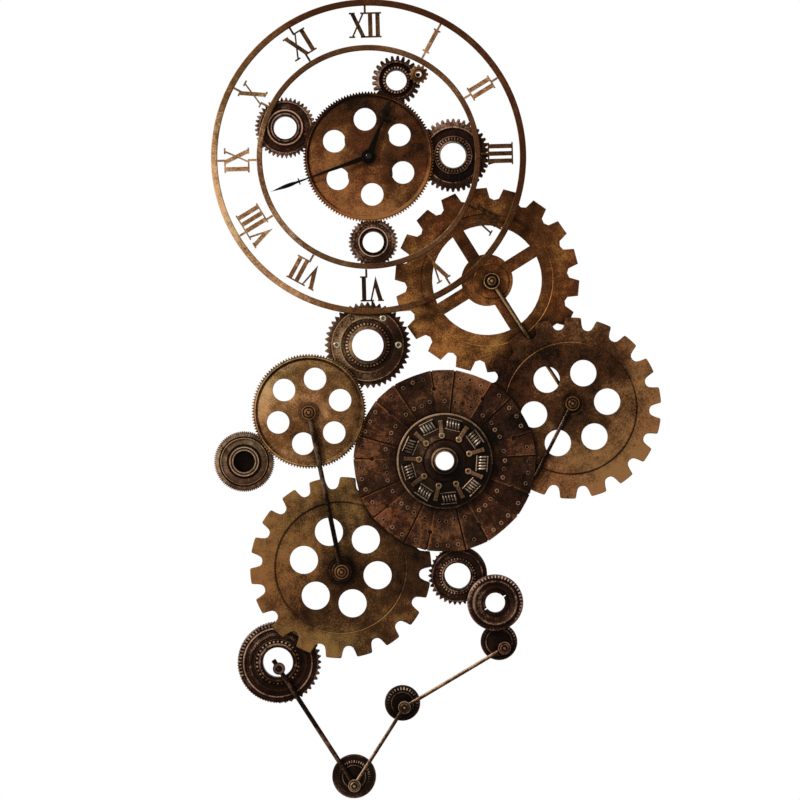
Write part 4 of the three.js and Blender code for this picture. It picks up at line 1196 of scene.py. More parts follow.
@dataclass
class KeyedWheel:
    """The wheel with two keyways in its bore: a dished face, a pale lip and a band of fine pink dogs."""

    node: str = "keyed_wheel"
    bore: float = 12.3
    lip: float = 26.9
    face_drop: float = 3.0
    lip_edge: Profile = ((2.6, -3.0, -0.3), (0.4, 0.0, 0.15), (-0.4, 0.0, 0.22), (-3.2, -3.0, -0.25))
    dish: Profile = ((21.0, -3.8, -0.08), (17.4, -3.8, -0.12), (17.0, -3.0, -0.05), (16.6, -4.2, -0.3))
    bore_drop: float = 4.2
    bore_tone: float = -0.1
    key_angle: float = 36.0
    key_depth: float = 3.6
    key_half: float = 0.8
    dogs: Dogs = Dogs(48, 30.6, 34.0, 2.6, height=1.8, width=1.9, swing=0.5, toward=math.radians(65))

    def build(self) -> None:
        """Turn the wheel, cut the keyways by moving the bore's wall, and set the dogs on the band."""
        seat, edge = Seat.of(self.node), Edge.BROKEN.value
        # The tones paint highlights on the edge and the lip's top, and shade on the lip's sides, in the dish
        # and in the bore; the dogs are painted lighter on their lit side.
        face, tones = seat.front - self.face_drop, (-0.2, 0.1, 0.1, 0.0)
        section = puck(self.bore, seat.radius, seat.back, face, edge, tones)
        section[-1:] = shifted(self.lip_edge, self.lip, seat.front) + shifted(self.dish, 0.0, seat.front)
        section.append((self.bore, seat.front - self.bore_drop, self.bore_tone))
        wheel = turned(section, seat, sides=144)
        wheel.points = self.keyed(seat, wheel.points)
        make_piece(self.node + "_turned", self.node, wheel, OILED, True)
        pink = replace(DOGS, name="pink_dog_teeth", dark="#1c0d0c", middle="#4a2a26", light="#d0aaa2")
        make_piece(self.node + "_dogs", self.node, self.dogs.ring(seat, seat.front), pink)

    def keyed(self, seat: Seat, points: np.ndarray) -> np.ndarray:
        """Move the bore's wall outwards where it lies within half a key's width of the key's line.

        Args:
            seat: the wheel's seat.
            points: the wheel's points.

        Returns:
            The moved points.
        """
        turn = math.radians(self.key_angle)
        offset = points[:, [0, 2]] - np.array([seat.x, seat.z])
        radius = np.linalg.norm(offset, axis=1)
        across = np.abs(-offset[:, 0] * math.sin(turn) + offset[:, 1] * math.cos(turn))
        cut = (radius < self.bore + EASE) & (across < self.key_half)
        points[:, [0, 2]] += offset * np.where(cut, self.key_depth / self.bore, 0.0)[:, None]
        return points


@dataclass
class RivetedDisc:
    """The clutch type disc: nine riveted facings, each split by a keyhole slot, round a sprung hub."""

    inner: float = 60.4
    outer: float = 114.2
    bore: float = 17.1
    plate: float = 1.0
    joint: float = 3.5
    joint_width: float = 2.2
    segments: int = 9
    slot_offset: float = 15.0
    slot_width: float = 1.6
    slot_inner: float = 91.0
    slot_eye: float = 2.6
    eye_span: float = 3.38
    facing_grid: tuple[int, int, int] = (30, 29, 15)
    darker_inside: float = 84.0
    hub_darkening: float = 0.25
    rim_inset: float = 1.0
    chord_share: float = 0.45
    edge_wear_and_highlight: float = 0.38
    wear_and_highlight_share: float = 0.04
    rivet_rows: tuple[float, float] = (105.0, 75.0)
    rivet_offsets: tuple[float, ...] = (6.5, 21.0, 28.5, 36.0)
    rivet_radius: float = 2.8
    rivet_stray: float = 0.7
    rivet_wear: tuple[float, float] = (-0.15, 0.3)
    rivet_seed: int = 5
    hub_radius: float = 59.8
    hub_back: float = 26.2
    hub_front: float = 30.2
    hub_swing: float = 0.26
    dish: float = 27.5
    tube_outer: float = 16.8
    tube_inner: float = 11.6
    tube_rise: float = 4.0
    rim_edge: Profile = ((0.0, 0.4, 0.25), (-0.7, 1.0, 0.2), (-2.2, 1.0, -0.02), (-3.0, 0.0, -0.35))
    dish_edge: Profile = ((0.0, 0.0, -0.2), (-1.6, -2.0, -0.1))
    tube_foot: Profile = ((1.2, -2.2, -0.12), (0.0, -1.4, -0.2))
    tube_edge: Profile = ((0.0, -0.8, 0.1), (-0.8, 0.0, 0.24), (-1.8, 0.0, -0.05), (-2.6, -0.8, -0.35))
    bore_edge: Profile = ((0.6, -0.8, 0.2), (0.0, -1.4, 0.1))
    spring_circle: float = 46.6
    spring_start: float = 36.0
    spring_length: float = 18.0
    spring_radius: float = 4.8
    spring_wire: float = 1.3
    spring_turns: int = 5
    spring_sink: float = 1.0
    turn_steps: int = 18
    spring_tone: float = -0.02
    spring_shade: float = 0.8
    window_length: float = 21.5
    window_half: float = 6.7
    pocket_depth: float = 1.0
    pocket_power: float = 0.15
    lip_inset: float = 1.0
    lip_halves: tuple[float, float] = (0.9, 0.7)
    lip_tone: float = 0.42
    strap_start: float = 16.5
    strap_inner: float = 32.0
    strap_outer: float = 51.5
    strap_width: float = 5.2
    strap_lift: float = 0.6
    strap_half: float = 1.2
    strap_power: float = 0.35
    strap_eye: float = 4.0
    end_size: tuple[float, float] = (3.4, 3.2)
    end_wider: float = 1.0
    end_lift: float = 0.4
    tones: tuple[PlateTone, ...] = (PLAIN, SOOTY, SOOTY, RED, WARM, SOOTY, PLAIN, WARM, WARM,
                                    PLAIN, PLAIN, WARM, PLAIN, WARM, PLAIN, WARM, SOOTY, PLAIN)

    def build(self) -> None:
        """Lay the facings on the disc, rivet them, and build the hub with its springs and straps."""
        node = "facing_disc"
        seat = Seat.of(node)
        floor = seat.front - self.plate - EASE
        base = puck(self.bore, self.outer - self.rim_inset, seat.back, floor, EASE, (0.0, 0.0, 0.0, 0.0))
        # The disc under the facings shows only in the joints and slots, blackened and painted nearly black
        # as their shade.
        shadow = replace(OILED, name="blackened_disc_painted_shade", light="#3a281a")
        make_piece("disc_base", node, turned(base, seat, sides=180), shadow, True)
        drift = Drift(node, 135, 0.13, reach=self.outer)
        rust = replace(RUST, name="rust_lacquered_facing", drift=drift)
        make_piece("disc_facings", node, self.facings(seat), rust, sheet=self.plate)
        rivets = replace(WORN, name="worn_rivets", middle="#463024", light="#94745e", grime_and_shade=0.8)
        make_piece("disc_rivets", node, self.rivets(seat), rivets)
        self.build_hub(seat)

    def each(self, start: float) -> np.ndarray:
        """Directions of the disc's equal segments in degrees, from the first one's."""
        return start + 360 / self.segments * np.arange(self.segments)

    def facings(self, seat: Seat) -> Surface:
        """Half facings as polar grids: each runs from a joint to a slot or from a slot to a joint.

        The edge along a slot keeps half its width, and half the eye's chord near the eye; further in the
        two halves meet. The angle at share s across is first + s (last - first). The outer edge lies a share
        of the way towards a straight chord, and the radius is drawn in towards it from none at the inner
        edge.

        Args:
            seat: the disc's seat.

        Returns:
            Open sheets at the front of the disc, with a tone for each half that darkens near the hub and
            lightens along the half's first edge, by a joint or a slot, as wear and painted highlight.
        """
        rows, eye_rows, columns = self.facing_grid
        eye_rings = self.slot_inner + np.linspace(-self.eye_span, self.eye_span, eye_rows)
        radius = np.unique(np.concatenate([np.linspace(self.inner, self.outer, rows), eye_rings]))
        share = 0.5 - 0.5 * np.cos(np.linspace(0, np.pi, columns))
        eye = np.sqrt(np.clip(self.slot_eye ** 2 - (radius - self.slot_inner) ** 2, 0, None))
        slot_gap = np.maximum(np.where(radius > self.slot_inner, self.slot_width / 2, 0.0), eye) / radius
        joint_gap = self.joint_width / 2 / radius
        joint = np.radians(self.each(self.joint))[:, None]
        slot = joint + math.radians(self.slot_offset)
        after = joint + 2 * math.pi / self.segments
        first = np.stack([joint + joint_gap, slot - slot_gap], -1)
        second = np.stack([slot + slot_gap, after - joint_gap], -1)
        sides = np.stack([first, second], 1).reshape(-1, len(radius), 2)
        angle = sides[..., :1] + (sides[..., 1:] - sides[..., :1]) * share
        half = (sides[:, -1:, 1:] - sides[:, -1:, :1]) / 2
        chord = np.cos(half) / np.cos(angle - sides[:, -1:, :1] - half)
        grown = (radius[None, :, None] - self.inner) / (self.outer - self.inner)
        reach = radius[None, :, None] - self.chord_share * grown * self.outer * (1 - chord)
        front = np.full(angle.shape, -seat.front)
        points = np.stack([seat.x + reach * np.cos(angle), front, seat.z + reach * np.sin(angle)], -1)
        step = np.arange(len(sides))[:, None, None] * len(radius) * columns
        faces = (grid_faces(len(radius), columns, False, False)[None] + step).reshape(-1, 4)
        halves = np.array([tone.value for tone in self.tones])[:, None, None]
        # The facings darken towards the hub.
        near_hub = np.clip((self.darker_inside - reach) / (self.darker_inside - self.inner), 0, 1)
        # Each half's first edge, by a joint or a slot, is lighter: wear and painted highlight.
        tone = halves - self.hub_darkening * near_hub + self.edge_wear_and_highlight * (share < self.wear_and_highlight_share)
        return Surface(points.reshape(-1, 3), faces, tone.ravel())

    def rivets(self, seat: Seat) -> Surface:
        """Set two rows of ring-shaped rivets on each facing, unevenly worn and a little astray.

        Args:
            seat: the disc's seat.

        Returns:
            One surface that holds every rivet.
        """
        angle = np.radians((self.each(self.joint)[:, None] + np.array(self.rivet_offsets)).ravel())
        row = np.array(self.rivet_rows)[:, None]
        depth = np.zeros((len(self.rivet_rows), len(angle)))
        places = np.stack([seat.x + row * np.cos(angle), depth, seat.z + row * np.sin(angle)], -1)
        places = places.reshape(-1, 3)
        head = eyelet(self.rivet_radius, seat.front)
        wear = np.random.default_rng(self.rivet_seed)
        places[:, [0, 2]] += wear.normal(0, self.rivet_stray, (len(places), 2))
        rivets = head.moved_copies(places)
        rivets.tone += np.repeat(wear.uniform(*self.rivet_wear, len(places)), len(head.points))
        return rivets

    def build_hub(self, seat: Seat) -> None:
        """Turn the hub, and set its springs, frames and straps round it.

        Args:
            seat: the disc's seat.
        """
        node, front, back, tube = "disc_hub", self.hub_front, self.hub_back, self.tube_outer
        top = front + self.tube_rise
        section = [(self.tube_inner, seat.back), (tube, seat.back), (tube, back), (self.hub_radius, back)]
        section += shifted(self.rim_edge, self.hub_radius, front) + shifted(self.dish_edge, self.dish, front)
        section += shifted(self.tube_foot, tube, front) + shifted(self.tube_edge, tube, top)
        section += shifted(self.bore_edge, self.tube_inner, top)
        hub = replace(RUST, name="rust_lacquered_hub", dark="#0e0805", middle="#2e1c14", light="#a4866c",
                      grime_and_shade=0.7, spread=0.8)
        # The hub's tones paint highlights on its rims and shade in its dish and bore, and the swing paints
        # its lit side lighter.
        body = turned(section, seat, sides=144).side_lit(seat, self.hub_swing)
        make_piece("disc_hub_turned", node, body, hub, True)
        places = self.each(self.spring_start)
        pocket = soft_block(2 * self.window_half, self.pocket_depth, self.window_length, self.pocket_power)
        pocket.moved(self.spring_circle, EASE - front, 0)
        shadow = replace(OILED, name="spring_pocket_shadow", dark="#0a0503", middle="#140b06",
                         light="#2a1c12")
        make_piece("spring_pockets", node, pocket.turned_copies(places, seat), shadow)
        springs = self.spring().turned_copies(places, seat)
        shown = -springs.points[:, 1] > front - self.spring_sink
        springs.tone += np.where(shown, self.spring_tone, -self.spring_shade)
        make_piece("hub_springs", node, springs, PALE)
        frames = replace(WORN, name="worn_spring_frames", light="#b09884")
        make_piece("spring_frames", node, self.frames().turned_copies(places, seat), frames)
        copper = replace(COPPER, name="sooted_copper_strap", dark="#1e120a", middle="#5a4230",
                         light="#a08468", spread=0.7,
                         drift=Drift("facing_disc", 75, 0.12, reach=self.strap_outer))
        make_piece("hub_straps", node, self.strap().turned_copies(self.each(self.strap_start), seat), copper)

    def frames(self) -> Surface:
        """Carry two straight lips along a spring's window, square to the radius.

        Returns:
            Both lips, for a window on the x axis.
        """
        half, lip = self.window_length / 2 - self.lip_inset, rounded(*self.lip_halves)
        reaches = (self.spring_circle - self.window_half, self.spring_circle + self.window_half)
        ends = [((reach, -self.hub_front, -half), (reach, -self.hub_front, half)) for reach in reaches]
        lips = joined([carried(straight(*pair), lip) for pair in ends])
        lips.tone += self.lip_tone
        return lips

    def spring(self) -> Surface:
        """Carry a round wire along a helix that lies in its window.

        Returns:
            One coil, for a window on the x axis.
        """
        turn = np.linspace(0, 2 * np.pi * self.spring_turns, self.spring_turns * self.turn_steps + 1)
        along = np.linspace(-self.spring_length / 2, self.spring_length / 2, len(turn))
        reach = self.spring_circle + self.spring_radius * np.cos(turn)
        depth = self.hub_front - self.spring_sink - self.spring_radius * np.sin(turn)
        path = np.stack([reach, -depth, along], -1)
        return carried(path, rounded(self.spring_wire, self.spring_wire))

    def strap(self) -> Surface:
        """Lay a strip along the radius with an eyelet near the hub and a raised outer end.

        Returns:
            One strap, along the x axis.
        """
        face = self.hub_front + self.strap_lift
        ends = ((self.strap_inner, -face, 0), (self.strap_outer, -face, 0))
        outline = rounded(self.strap_half, self.strap_width / 2, self.strap_power, count=16)
        strip = carried(straight(*ends), outline)
        head = eyelet(self.strap_eye, face + self.strap_lift).moved(self.strap_inner, 0, 0)
        end = soft_block(*self.end_size, self.strap_width + self.end_wider)
        end.moved(self.strap_outer - self.end_size[0] / 2, -face - self.end_lift, 0)
        return joined([strip, head, end])


@dataclass
class CapBolt:
    """A through bolt seen as a washer, a groove dark with painted shade, a ringed cap nut and a dimple."""

    node: str
    washer: float = 9.0
    light: str = "#84623e"
    shank: float = 2.5
    nut: float = 6.0
    rise: float = 6.6
    washer_edge: Profile = ((0.0, 0.0), (0.0, 0.8, 0.1), (-0.6, 1.5, 0.45), (-1.4, 1.5, 0.35),
                            (-2.0, 0.9, -0.45))
    nut_edge: Profile = ((0.4, 0.9, -0.45), (0.0, 1.8, -0.3), (0.0, 4.0, -0.1), (-1.0, 5.2, 0.2),
                         (-2.2, 5.7), (-2.8, 5.2, -0.4), (-3.4, 5.2, -0.35), (-4.0, 6.1, 0.1),
                         (-4.9, 6.5, 0.3))
    tip_tone: float = 0.35

    def build(self) -> None:
        """Turn the bolt on its own axis."""
        seat = Seat.of(self.node)
        base = seat.front - self.rise
        # The tones paint highlights on the washer's edge, the nut's rims and its tip, and shade in the
        # groove and the dimple.
        section = [(0, seat.back), (self.shank, seat.back), (self.shank, base)]
        section += shifted(self.washer_edge, self.washer, base) + shifted(self.nut_edge, self.nut, base)
        section.append((0, seat.front, self.tip_tone))
        finish = replace(WORN, name="worn_bronze_" + self.node, dark="#150b06", middle="#3c2416",
                         light=self.light)
        make_piece(self.node + "_turned", self.node, turned(section, seat, sides=48), finish, True)


@dataclass
class Rod:
    """A flat rod with rounded edges from one bolt to another, with a round eye at each end that has one."""

    node: str
    start: Seat
    end: Seat
    finish: Patina
    width: float = 4.6
    # how much lighter the bar is along its lit edge and darker along the other: painted highlight and shade
    side_highlight: float = 0.48
    stub: float = 0.0
    end_eye: bool = True
    eye: float = 7.8
    power: float = 0.55

    def build(self) -> None:
        """Carry the rounded section along the rod and turn the eyes."""
        seat = Seat.of(self.node)
        back, front, edge, eye = seat.back, seat.front, Edge.BROKEN.value, self.eye
        run = (self.end.x - self.start.x, self.end.z - self.start.z)
        length, angle = math.hypot(*run), math.degrees(math.atan2(run[1], run[0]))
        middle = (back + front) / 2
        ends = ((-self.stub, -middle, 0), (length, -middle, 0))
        bar = carried(straight(*ends), rounded((front - back) / 2, self.width / 2, self.power, count=20))
        # The bar is painted lighter along its lit edge and darker along the other: painted highlight and
        # shade.
        side = math.cos(math.radians(angle + 90) - LIT)
        bar.tone = self.side_highlight * math.copysign(1, side) * bar.points[:, 2] / (self.width / 2)
        section = [(0, back), (eye - edge, back), (eye, back + edge), (eye, front - edge, 0.1)]
        section += [(eye - edge, front - EASE, 0.2), (0, front - EASE, -0.3)]
        places = np.array([(0.0, 0.0, 0.0), (length, 0.0, 0.0)])[:1 + self.end_eye]
        eyes = turned(section, ORIGIN, sides=48).moved_copies(places)
        rod = joined([bar, eyes]).turned_copies([angle], self.start)
        make_piece(self.node + "_carried", self.node, rod, self.finish, True)


@dataclass
class GearTrain:
    """Every fixed gear, wheel, rod and bolt below and behind the dial."""

    coarse_gears: tuple[CoarseGear, ...] = (
        CoarseGear("right_gear", RIGHT_WASH, Teeth(18, 15.0, PLATE, 8.4), Holes(6, 16.5, 46.5, 10.0),
                   step=0.6, bolt="right_bolt", collar=13.0),
        CoarseGear("lower_left_gear", LOWER_WASH, Teeth(18, 15.0, PLATE, 105.5), Holes(6, 17.6, 47.1, 48.3),
                   step=-0.6, bolt="lower_bolt", collar=18.0, core_darkening=0.22),
    )
    fine_gears: tuple[FineGear, ...] = (
        FineGear("centre_gear", CENTRE_WASH, tip=82.0, teeth=Teeth(132, 2.6, POINTED), rim=5.0,
                 holes=Holes(6, 14.1, 47.1, 35.5), core=4.2, rim_swing=-0.3),
        FineGear("left_gear", LEFT_WASH, tip=71.9, teeth=Teeth(120, 2.4, POINTED), rim=5.4,
                 holes=Holes(6, 14.0, 41.1, 19.7), core=4.0, rim_swing=-0.1),
    )
    box_gears: tuple[BoxGear, ...] = (
        BoxGear("top_gear", Teeth(25, 5.6, STRAIGHT), bore=12.9, face=25.0, tooth_tone=-0.18,
                bands=(Band(21.5, 0.0, 0.0), Band(17.6, 3.0, -0.4), Band(13.4, 1.0, -0.2)),
                dogs=Dogs(26, 14.2, 17.0, 0.2)),
        BoxGear("left_dial_gear", Teeth(41, 4.0, POINTED), bore=14.4, face=33.0,
                bands=(Band(31.0, 0.2, 0.25), Band(22.6, 3.0, 0.04), Band(20.4, 0.0, 0.48),
                       Band(18.2, 1.4, -0.2), Band(16.2, 0.4, 0.25), Band(14.4, 1.2, -0.1))),
        BoxGear("right_dial_gear", Teeth(40, 4.2, STRAIGHT), bore=16.0, face=40.6, tooth_tone=0.1,
                bands=(Band(35.6, 0.0, 0.05), Band(33.8, 0.0, 0.28), Band(24.0, 3.0, -0.18),
                       Band(22.8, 0.6, 0.25), Band(18.0, 1.2, -0.2), Band(16.0, 0.3, 0.25)),
                dogs=Dogs(34, 18.6, 22.2, 0.2)),
        BoxGear("bottom_dial_gear", Teeth(36, 2.8, POINTED), bore=13.2, face=26.6,
                bands=(Band(23.2, 0.0, 0.06), Band(18.8, 1.2, -0.02), Band(17.0, 0.0, 0.45),
                       Band(14.2, 2.4, -0.25), Band(13.2, 1.2, 0.0))),
        BoxGear("flange_gear", Teeth(44, 4.0, POINTED), bore=19.8, face=45.6, rim_drop=4.3, tooth_tone=0.12,
                bands=(Band(43.8, 0.0, 0.25), Band(34.6, 0.5, -0.02), Band(33.0, 0.2, 0.15),
                       Band(28.6, 5.6, 0.06), Band(24.2, 4.4, -0.15), Band(19.8, 3.2, 0.1)),
                dogs=Dogs(40, 24.8, 28.0, 3.4),
                finish=replace(OILED, name="oil_blackened_flange", middle="#382217", light="#a08264",
                               golden=WORN.golden, drift=Drift("flange_gear", 180, 0.16))),
        BoxGear("top_pinion", Teeth(12, 2.4, STRAIGHT), bore=3.5, face=8.6,
                bands=(Band(6.4, 0.0, 0.0), Band(4.6, 0.6, -0.2), Band(3.5, 0.0, 0.6)),
                finish=replace(WORN, name="worn_pinion", middle="#3a2512", light="#947248")),
        BoxGear("idler_wheel", Teeth(88, 1.8, POINTED), bore=13.4, face=35.2, blind=2.5, swing=0.05,
                bands=(Band(31.2, 0.0, 0.1), Band(29.8, 1.4, -0.45), Band(28.4, 0.2, 0.28),
                       Band(21.4, 2.6, 0.05), Band(18.8, 3.4, -0.45), Band(16.9, 0.0, 0.38),
                       Band(15.2, 0.8, -0.2), Band(13.4, 0.1, 0.3)),
                finish=replace(WORN, name="sooted_bronze_idler", light="#ac9078")),
        BoxGear("dog_gear", Teeth(34, 3.6, POINTED), bore=16.5, face=32.5, rim_drop=5.3,
                bands=(Band(30.4, 0.0, 0.12), Band(23.4, 2.6, -0.08), Band(20.0, 1.8, -0.4),
                       Band(18.4, 0.6, 0.15), Band(16.5, 1.2, -0.15)),
                dogs=Dogs(36, 20.5, 22.9, 0.8)),
        BoxGear("corner_gear", Teeth(90, 0.9, POINTED), bore=18.8, face=48.4, tip=50.8,
                bands=(Band(44.0, 2.2, -0.02), Band(41.8, 0.0, 0.3), Band(37.2, 2.6, -0.12),
                       Band(33.4, 1.8, -0.02), Band(29.4, 2.8, -0.18), Band(28.2, 1.4, 0.05),
                       Band(24.4, 2.4, -0.4), Band(21.4, 1.0, 0.15), Band(18.8, 2.0, -0.1)),
                dogs=Dogs(32, 25.0, 27.6, 1.0), knurl=Dogs(22, 45.2, 49.8, 0.2, first=88.0, last=205.0)),
    )
    wheels: tuple[SmallWheel, ...] = (
        SmallWheel("low_wheel", "low_bolt", 14.2, 16.3, dog_count=40, dog_inner=17.4, dog_outer=20.6),
        SmallWheel("mid_wheel", "mid_bolt", 13.6, 16.3, dog_count=30, dog_inner=16.4, dog_outer=20.0),
        SmallWheel("end_wheel", "end_bolt", 16.2, 21.6, dog_count=34, dog_inner=19.0, dog_outer=21.8),
    )
    spoke_plate: float = 5.0
    spoke_circle: float = 82.9
    spoke_collar: float = 22.0
    left_boss: float = 12.5
    left_boss_edge: float = 0.8
    collar_radius: float = 35.0
    collar_drop: float = 5.0
    collar_lean: float = 2.2
    corner_teeth: Teeth = Teeth(44, 4.4, POINTED)
    corner_tip: float = 51.6
    corner_bore: float = 38.0
    corner_drop: float = 5.0
    corner_lean: float = 2.6
    corner_eye: tuple[float, float] = (1.6, -7.3)
    flange_circle: float = 38.6
    rivet_head: tuple[float, float] = (4.2, 0.4)
    rivet_hole: tuple[float, float] = (3.2, 0.9)
    rivet_angles: tuple[float, ...] = (0.0, 60.0, 180.0)
    hole_angles: tuple[float, ...] = (120.0, 300.0)
    cap_radius: float = 7.6
    rod_stub: float = 13.0
    dark_width: float = 6.0
    # painted highlights along the dark rods' lit edges
    dark_side_highlight: float = 0.22
    disc_rod_side_highlight: float = 0.2
    disc_rod_angle: float = 243.0
    disc_rod_reach: float = 102.0
    small_washer: float = 8.0
    spoke_washer: float = 10.4

    def build(self) -> None:
        """Build the gears by kind, then what lies on them and between them."""
        self.build_spokes()
        for gear in (*self.coarse_gears, *self.fine_gears, *self.box_gears, KeyedWheel(), *self.wheels):
            gear.build()
        self.build_collars()
        self.build_flange_rivets()
        self.build_rods()
        self.build_bolts()

    def build_spokes(self) -> None:
        """Ease the spoke gear's edges and draw the circles on its face."""
        # The spoke gear's eased edges take a lighter copy of the wash: wear and painted highlight.
        edge_finish = replace(RUBBED_AND_LIT_EDGE, name="spoke_rubbed_lit_edge", drift=SPOKE_WASH.drift)
        CutPiece("spoke_gear", SPOKE_WASH, edge_finish, Edge.BROKEN).build()
        seat = Seat.of("spoke_gear")
        face = seat.back + self.spoke_plate
        # The circles are beads painted lighter on one side and darker on the other: painted highlight and
        # shade.
        lines = [bead(seat, self.spoke_circle, face, half=0.7, tone=0.1, swing=-0.4)]
        lines.append(bead(Seat.of("spoke_bolt"), self.spoke_collar, face, half=0.8, tone=-0.1, swing=0.3))
        make_piece("spoke_gear_lines", "spoke_gear", joined(lines), SPOKE_WASH)

    def build_collars(self) -> None:
        """Turn the left gear's boss, the dog gear's collar and the corner gear's second row of teeth."""
        seat = Seat.of("left_gear")
        boss = puck(0, self.left_boss, seat.back, seat.front, self.left_boss_edge, (0.0, 0.0, 0.2, -0.2))
        # The boss is darker than the gear.
        dark_boss = replace(WORN, name="dark_bronze_boss", middle="#3c281a", light="#7a5c3e")
        make_piece("left_gear_boss", "left_gear", turned(boss, Seat.of("left_bolt"), sides=64), dark_boss)
        seat = Seat.of("dog_gear")
        collar = puck(seat.radius / 2, self.collar_radius, seat.back, seat.front - self.collar_drop,
                      Edge.BROKEN.value, (-0.2, -0.1, 0.0, -0.1))
        collar = turned(collar, seat.aside(self.collar_lean, self.collar_lean), sides=96)
        make_piece("dog_gear_collar", "dog_gear", collar, OILED)
        seat, edge = Seat.of("corner_gear"), Edge.EASED.value
        back, front = seat.back, seat.front - self.corner_drop
        root = self.corner_tip - self.corner_teeth.height
        # The second row's tooth edge is painted lighter: a painted highlight.
        section = [(self.corner_bore, back), (root, back, 0, 1), (root, front - edge, 0.1, 1)]
        section += [(root, front, 0.3, 1, edge), (self.corner_bore, front)]
        teeth = turned(section, seat.aside(self.corner_lean, 0), teeth=self.corner_teeth)
        make_piece("corner_gear_teeth", "corner_gear", teeth, OILED)

    def build_flange_rivets(self) -> None:
        """Set silvery rivets and black eyelets, painted shade for open holes, on the flange gear's face."""
        seat = Seat.of("flange_gear")
        silver = replace(PALE, name="pale_rivets", middle="#6e675a", light="#b4ab98", grime_and_shade=0.5)
        # The holes are black eyelets: painted shade.
        rows = (("rivets", self.rivet_head, silver, self.rivet_angles),
                ("holes", self.rivet_hole, OXIDE, self.hole_angles))
        for name, (radius, sink), finish, angles in rows:
            head = eyelet(radius, seat.front - sink).moved(self.flange_circle, 0, 0)
            make_piece("flange_" + name, "flange_gear", head.turned_copies(angles, seat), finish)

    def build_rods(self) -> None:
        """Carry the rods between the bolts and cap the corner rod's eye."""
        names = ("left", "lower", "spoke", "right", "low", "mid", "end")
        left, lower, spoke, right, low, mid, end = (Seat.of(name + "_bolt") for name in names)
        eye = Seat.of("corner_gear").aside(*self.corner_eye)
        turn, reach = math.radians(self.disc_rod_angle), self.disc_rod_reach
        disc_end = right.aside(reach * math.cos(turn), reach * math.sin(turn))
        shaded = replace(COPPER_ROD, name="copper_shaded_rod", middle="#42301f", light="#a08060")
        rods = (
            Rod("left_rod", left, lower, DARK_ROD, self.dark_width, self.dark_side_highlight),
            Rod("back_rod", spoke, right, shaded),
            Rod("corner_rod", eye, low, DARK_ROD, self.dark_width, self.dark_side_highlight, self.rod_stub),
            Rod("low_rod", low, mid, COPPER_ROD),
            Rod("end_rod", mid, end, COPPER_ROD),
            Rod("disc_rod", right, disc_end, DARK_ROD, side_highlight=self.disc_rod_side_highlight, end_eye=False),
        )
        for rod in rods:
            rod.build()
        cap = eyelet(self.cap_radius, Seat.of("corner_rod").front - Edge.EASED.value).moved(eye.x, 0, eye.z)
        black = replace(OILED, name="oil_blackened_cap", middle="#160e0a", light="#6e5a4c")
        make_piece("corner_rod_cap", "corner_rod", cap, black)

    def build_bolts(self) -> None:
        """Turn the bolts and ease the spacer and the hanger plates."""
        for name in ("left", "lower", "right"):
            CapBolt(name + "_bolt").build()
        for name in ("low", "mid", "end"):
            CapBolt(name + "_bolt", self.small_washer, "#a88a74").build()
        CapBolt("spoke_bolt", self.spoke_washer, "#b48c62").build()
        for node in ("lower_spacer", "dial_hanger", "right_hanger"):
            CutPiece(node, OILED, HANDLED).build()


@dataclass
class Leaf:
    """The rounded leaf of a hand, and the scrolls beside its cross.

    A scroll is an oval: its middle along and beside the hand, and half its length and width.
    """

    node: str
    direction: float
    start: float
    end: float
    half: float
    scroll: tuple[float, float, float, float] | None = None
    half_sheet: float = 0.68
    power: float = 0.6
    fullest: float = 0.7
    narrowest: float = 0.1
    wire: float = 0.6
    rows: int = 28

    def build(self, axis: Seat, finish: Patina) -> None:
        """Draw the leaf along the hand: its width follows a sine of the share along it, raised to a power.

        Args:
            axis: the hands' axis.
            finish: the hand's patina.
        """
        seat = Seat.of(self.node)
        middle = (seat.back + seat.front) / 2
        path = straight((self.start, -middle, 0), (self.end, -middle, 0), self.rows)
        leaf = carried(path, rounded(self.half_sheet, self.half, self.power, count=12))
        along = (leaf.points[:, 0] - self.start) / (self.end - self.start)
        leaf.points[:, 2] *= np.maximum(np.sin(np.pi * along ** self.fullest), self.narrowest)
        parts = [leaf]
        if self.scroll is not None:
            parts += [self.scrolled(middle, side) for side in (-1, 1)]
        shape = joined(parts).turned_copies([self.direction], axis)
        make_piece(self.node + "_leaf", self.node, shape, finish)

    def scrolled(self, middle: float, side: int) -> Surface:
        """Bend a round wire to an oval beside the hand: an ellipse with the wire's circle carried along it.

        Args:
            middle: depth of the hand's middle.
            side: -1 or 1.

        Returns:
            The closed surface, for a hand along the x axis.
        """
        reach, aside, half_long, half_wide = self.scroll
        turn = np.linspace(0, 2 * np.pi, 2 * self.rows, endpoint=False)
        across = side * aside + half_wide * np.sin(turn)
        path = np.stack([reach + half_long * np.cos(turn), np.full(len(turn), -middle), across], -1)
        return carried(path, rounded(self.wire, self.wire), True)


